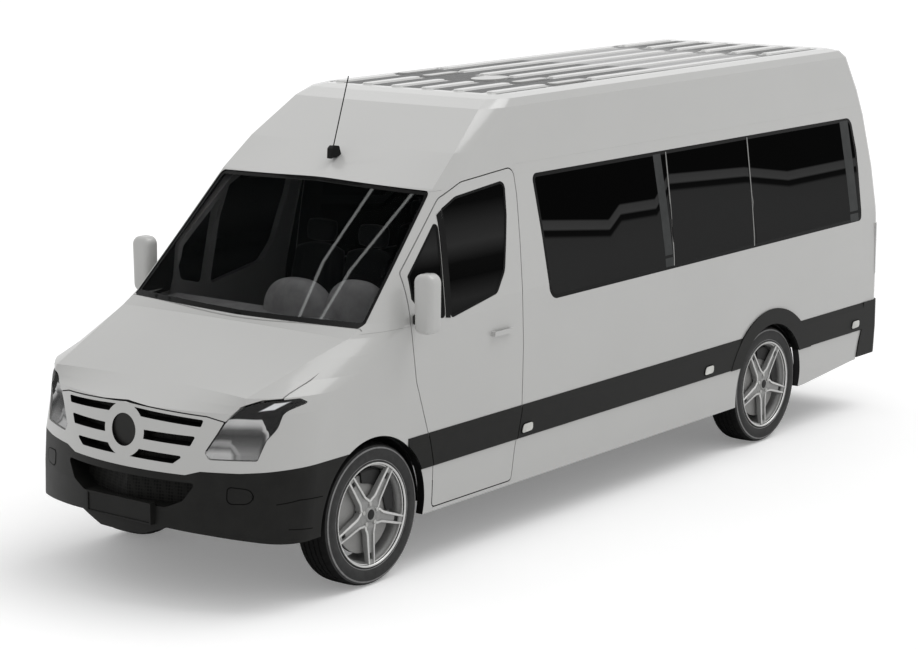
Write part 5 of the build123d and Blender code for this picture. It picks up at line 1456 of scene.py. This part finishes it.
class MINIBUS_OT_seats(bpy.types.Operator):
    """Build every seat with its stuffed cushion, backrest and headrest"""
    bl_idname = "minibus.seats"
    bl_label = "Seats"

    def execute(self, context):
        settings = context.scene.minibus_cabin
        for k, (x0, x1) in enumerate(FRONT_SEATS):
            seat = make_seat(f"front_seat_{k + 1}", FRONT_ROW_Y, x0, x1, settings.pad_cuts)
            keep(seat, "body", ["front_seats"])
        for r, (y, row) in enumerate(CABIN_ROWS):
            for k, (x0, x1) in enumerate(row):
                seat = make_seat(f"cabin_seat_{r + 1}_{k + 1}", y, x0, x1, settings.pad_cuts)
                keep(seat, "body", ["cabin_seats"])
        return {"FINISHED"}


class MINIBUS_OT_steering_wheel(bpy.types.Operator):
    """Build the steering wheel"""
    bl_idname = "minibus.steering_wheel"
    bl_label = "Steering wheel"

    def execute(self, context):
        wheel = make_steering_wheel("steering_wheel_rim", context.scene.minibus_cabin.wheel_radius, 0.015)
        keep(wheel, "steering_wheel", ["steering_wheel"])
        return {"FINISHED"}


class MINIBUS_OT_stage(bpy.types.Operator):
    """Set up the pale floor, the soft lights and the camera"""
    bl_idname = "minibus.stage"
    bl_label = "Stage"

    def execute(self, context):
        settings = context.scene.minibus_stage
        scene = context.scene
        work = bmesh.new()
        bmesh.ops.create_grid(work, x_segments=8, y_segments=8, size=FLOOR_REACH)
        material, nodes, links, shader = new_material("studio_floor_finish")
        tone = noise_at(nodes, links, 0.4, 2)
        links.new(tinted(nodes, links, tone, (0.93, 0.93, 0.93), (0.95, 0.95, 0.95)), shader.inputs["Base Color"])
        shader.inputs["Roughness"].default_value = 0.9
        shader.inputs["Specular IOR Level"].default_value = 0.1
        rays = nodes.new("ShaderNodeLightPath")
        links.new(calc(nodes, links, "MULTIPLY", rays.outputs["Is Camera Ray"], settings.floor_lift),
                  shader.inputs["Emission Strength"])
        shader.inputs["Emission Color"].default_value = (1, 1, 1, 1)
        from_bmesh("studio_floor", work, material)

        world = bpy.data.worlds.new("studio")
        scene.world = world
        world.use_nodes = True
        nodes, links = world.node_tree.nodes, world.node_tree.links
        background = nodes["Background"]
        background.inputs["Color"].default_value = (1, 1, 1, 1)
        rays = nodes.new("ShaderNodeLightPath")
        seen = calc(nodes, links, "MAXIMUM", rays.outputs["Is Camera Ray"], rays.outputs["Is Glossy Ray"])
        seen = calc(nodes, links, "MAXIMUM", seen, rays.outputs["Is Transmission Ray"])
        links.new(mapped(nodes, links, seen, 0.0, 1.0, settings.ambient, 1.0), background.inputs["Strength"])

        lamp = bpy.data.lights.new("overhead", "SUN")
        lamp.energy = settings.key
        lamp.angle = math.radians(KEY_SOFTNESS)
        key = bpy.data.objects.new("overhead", lamp)
        key.rotation_euler = (math.radians(KEY_TILT[0]), math.radians(KEY_TILT[1]), 0)
        scene.collection.objects.link(key)

        lens = bpy.data.cameras.new("camera")
        lens.lens, lens.sensor_width = CAMERA_LENS, 36
        lens.clip_end = 500
        camera = bpy.data.objects.new("camera", lens)
        camera.location = CAMERA_AT
        camera.rotation_euler = (math.radians(90 - CAMERA_DOWN), 0, math.radians(CAMERA_TURN))
        scene.collection.objects.link(camera)
        scene.camera = camera
        scene.view_settings.view_transform = "Standard"
        return {"FINISHED"}


class MINIBUS_PT_panel(bpy.types.Panel):
    bl_label = "Minibus"
    bl_idname = "MINIBUS_PT_panel"
    bl_space_type = "VIEW_3D"
    bl_region_type = "UI"
    bl_category = "Minibus"

    def draw(self, context):
        for group in SETTINGS:
            settings = getattr(context.scene, group)
            for name in settings.bl_rna.properties.keys():
                if name not in ("rna_type", "name"):
                    self.layout.prop(settings, name)
        for operator in OPERATORS:
            self.layout.operator(operator.bl_idname)


OPERATORS = (MINIBUS_OT_finishes, MINIBUS_OT_tyres, MINIBUS_OT_wheels, MINIBUS_OT_headlamps, MINIBUS_OT_mirrors,
             MINIBUS_OT_glazing, MINIBUS_OT_roof, MINIBUS_OT_bumper, MINIBUS_OT_side_markers,
             MINIBUS_OT_dash_hoods, MINIBUS_OT_seats, MINIBUS_OT_steering_wheel, MINIBUS_OT_stage)
SETTINGS = {"minibus_paint": MINIBUS_PG_paint, "minibus_wheels": MINIBUS_PG_wheels, "minibus_cabin": MINIBUS_PG_cabin,
            "minibus_trim": MINIBUS_PG_trim, "minibus_stage": MINIBUS_PG_stage}


def register():
    for cls in (*SETTINGS.values(), *OPERATORS, MINIBUS_PT_panel):
        bpy.utils.register_class(cls)
    for name, group in SETTINGS.items():
        setattr(bpy.types.Scene, name, bpy.props.PointerProperty(type=group))


def unregister():
    for name in SETTINGS:
        delattr(bpy.types.Scene, name)
    for cls in (MINIBUS_PT_panel, *OPERATORS, *SETTINGS.values()):
        bpy.utils.unregister_class(cls)


def main():
    register()
    bpy.ops.minibus.finishes()
    bpy.ops.minibus.tyres()
    bpy.ops.minibus.wheels()
    bpy.ops.minibus.headlamps()
    bpy.ops.minibus.mirrors()
    bpy.ops.minibus.glazing()
    bpy.ops.minibus.roof()
    bpy.ops.minibus.bumper()
    bpy.ops.minibus.side_markers()
    bpy.ops.minibus.dash_hoods()
    bpy.ops.minibus.seats()
    bpy.ops.minibus.steering_wheel()
    bpy.ops.minibus.stage()


if __name__ == "__main__":
    main()
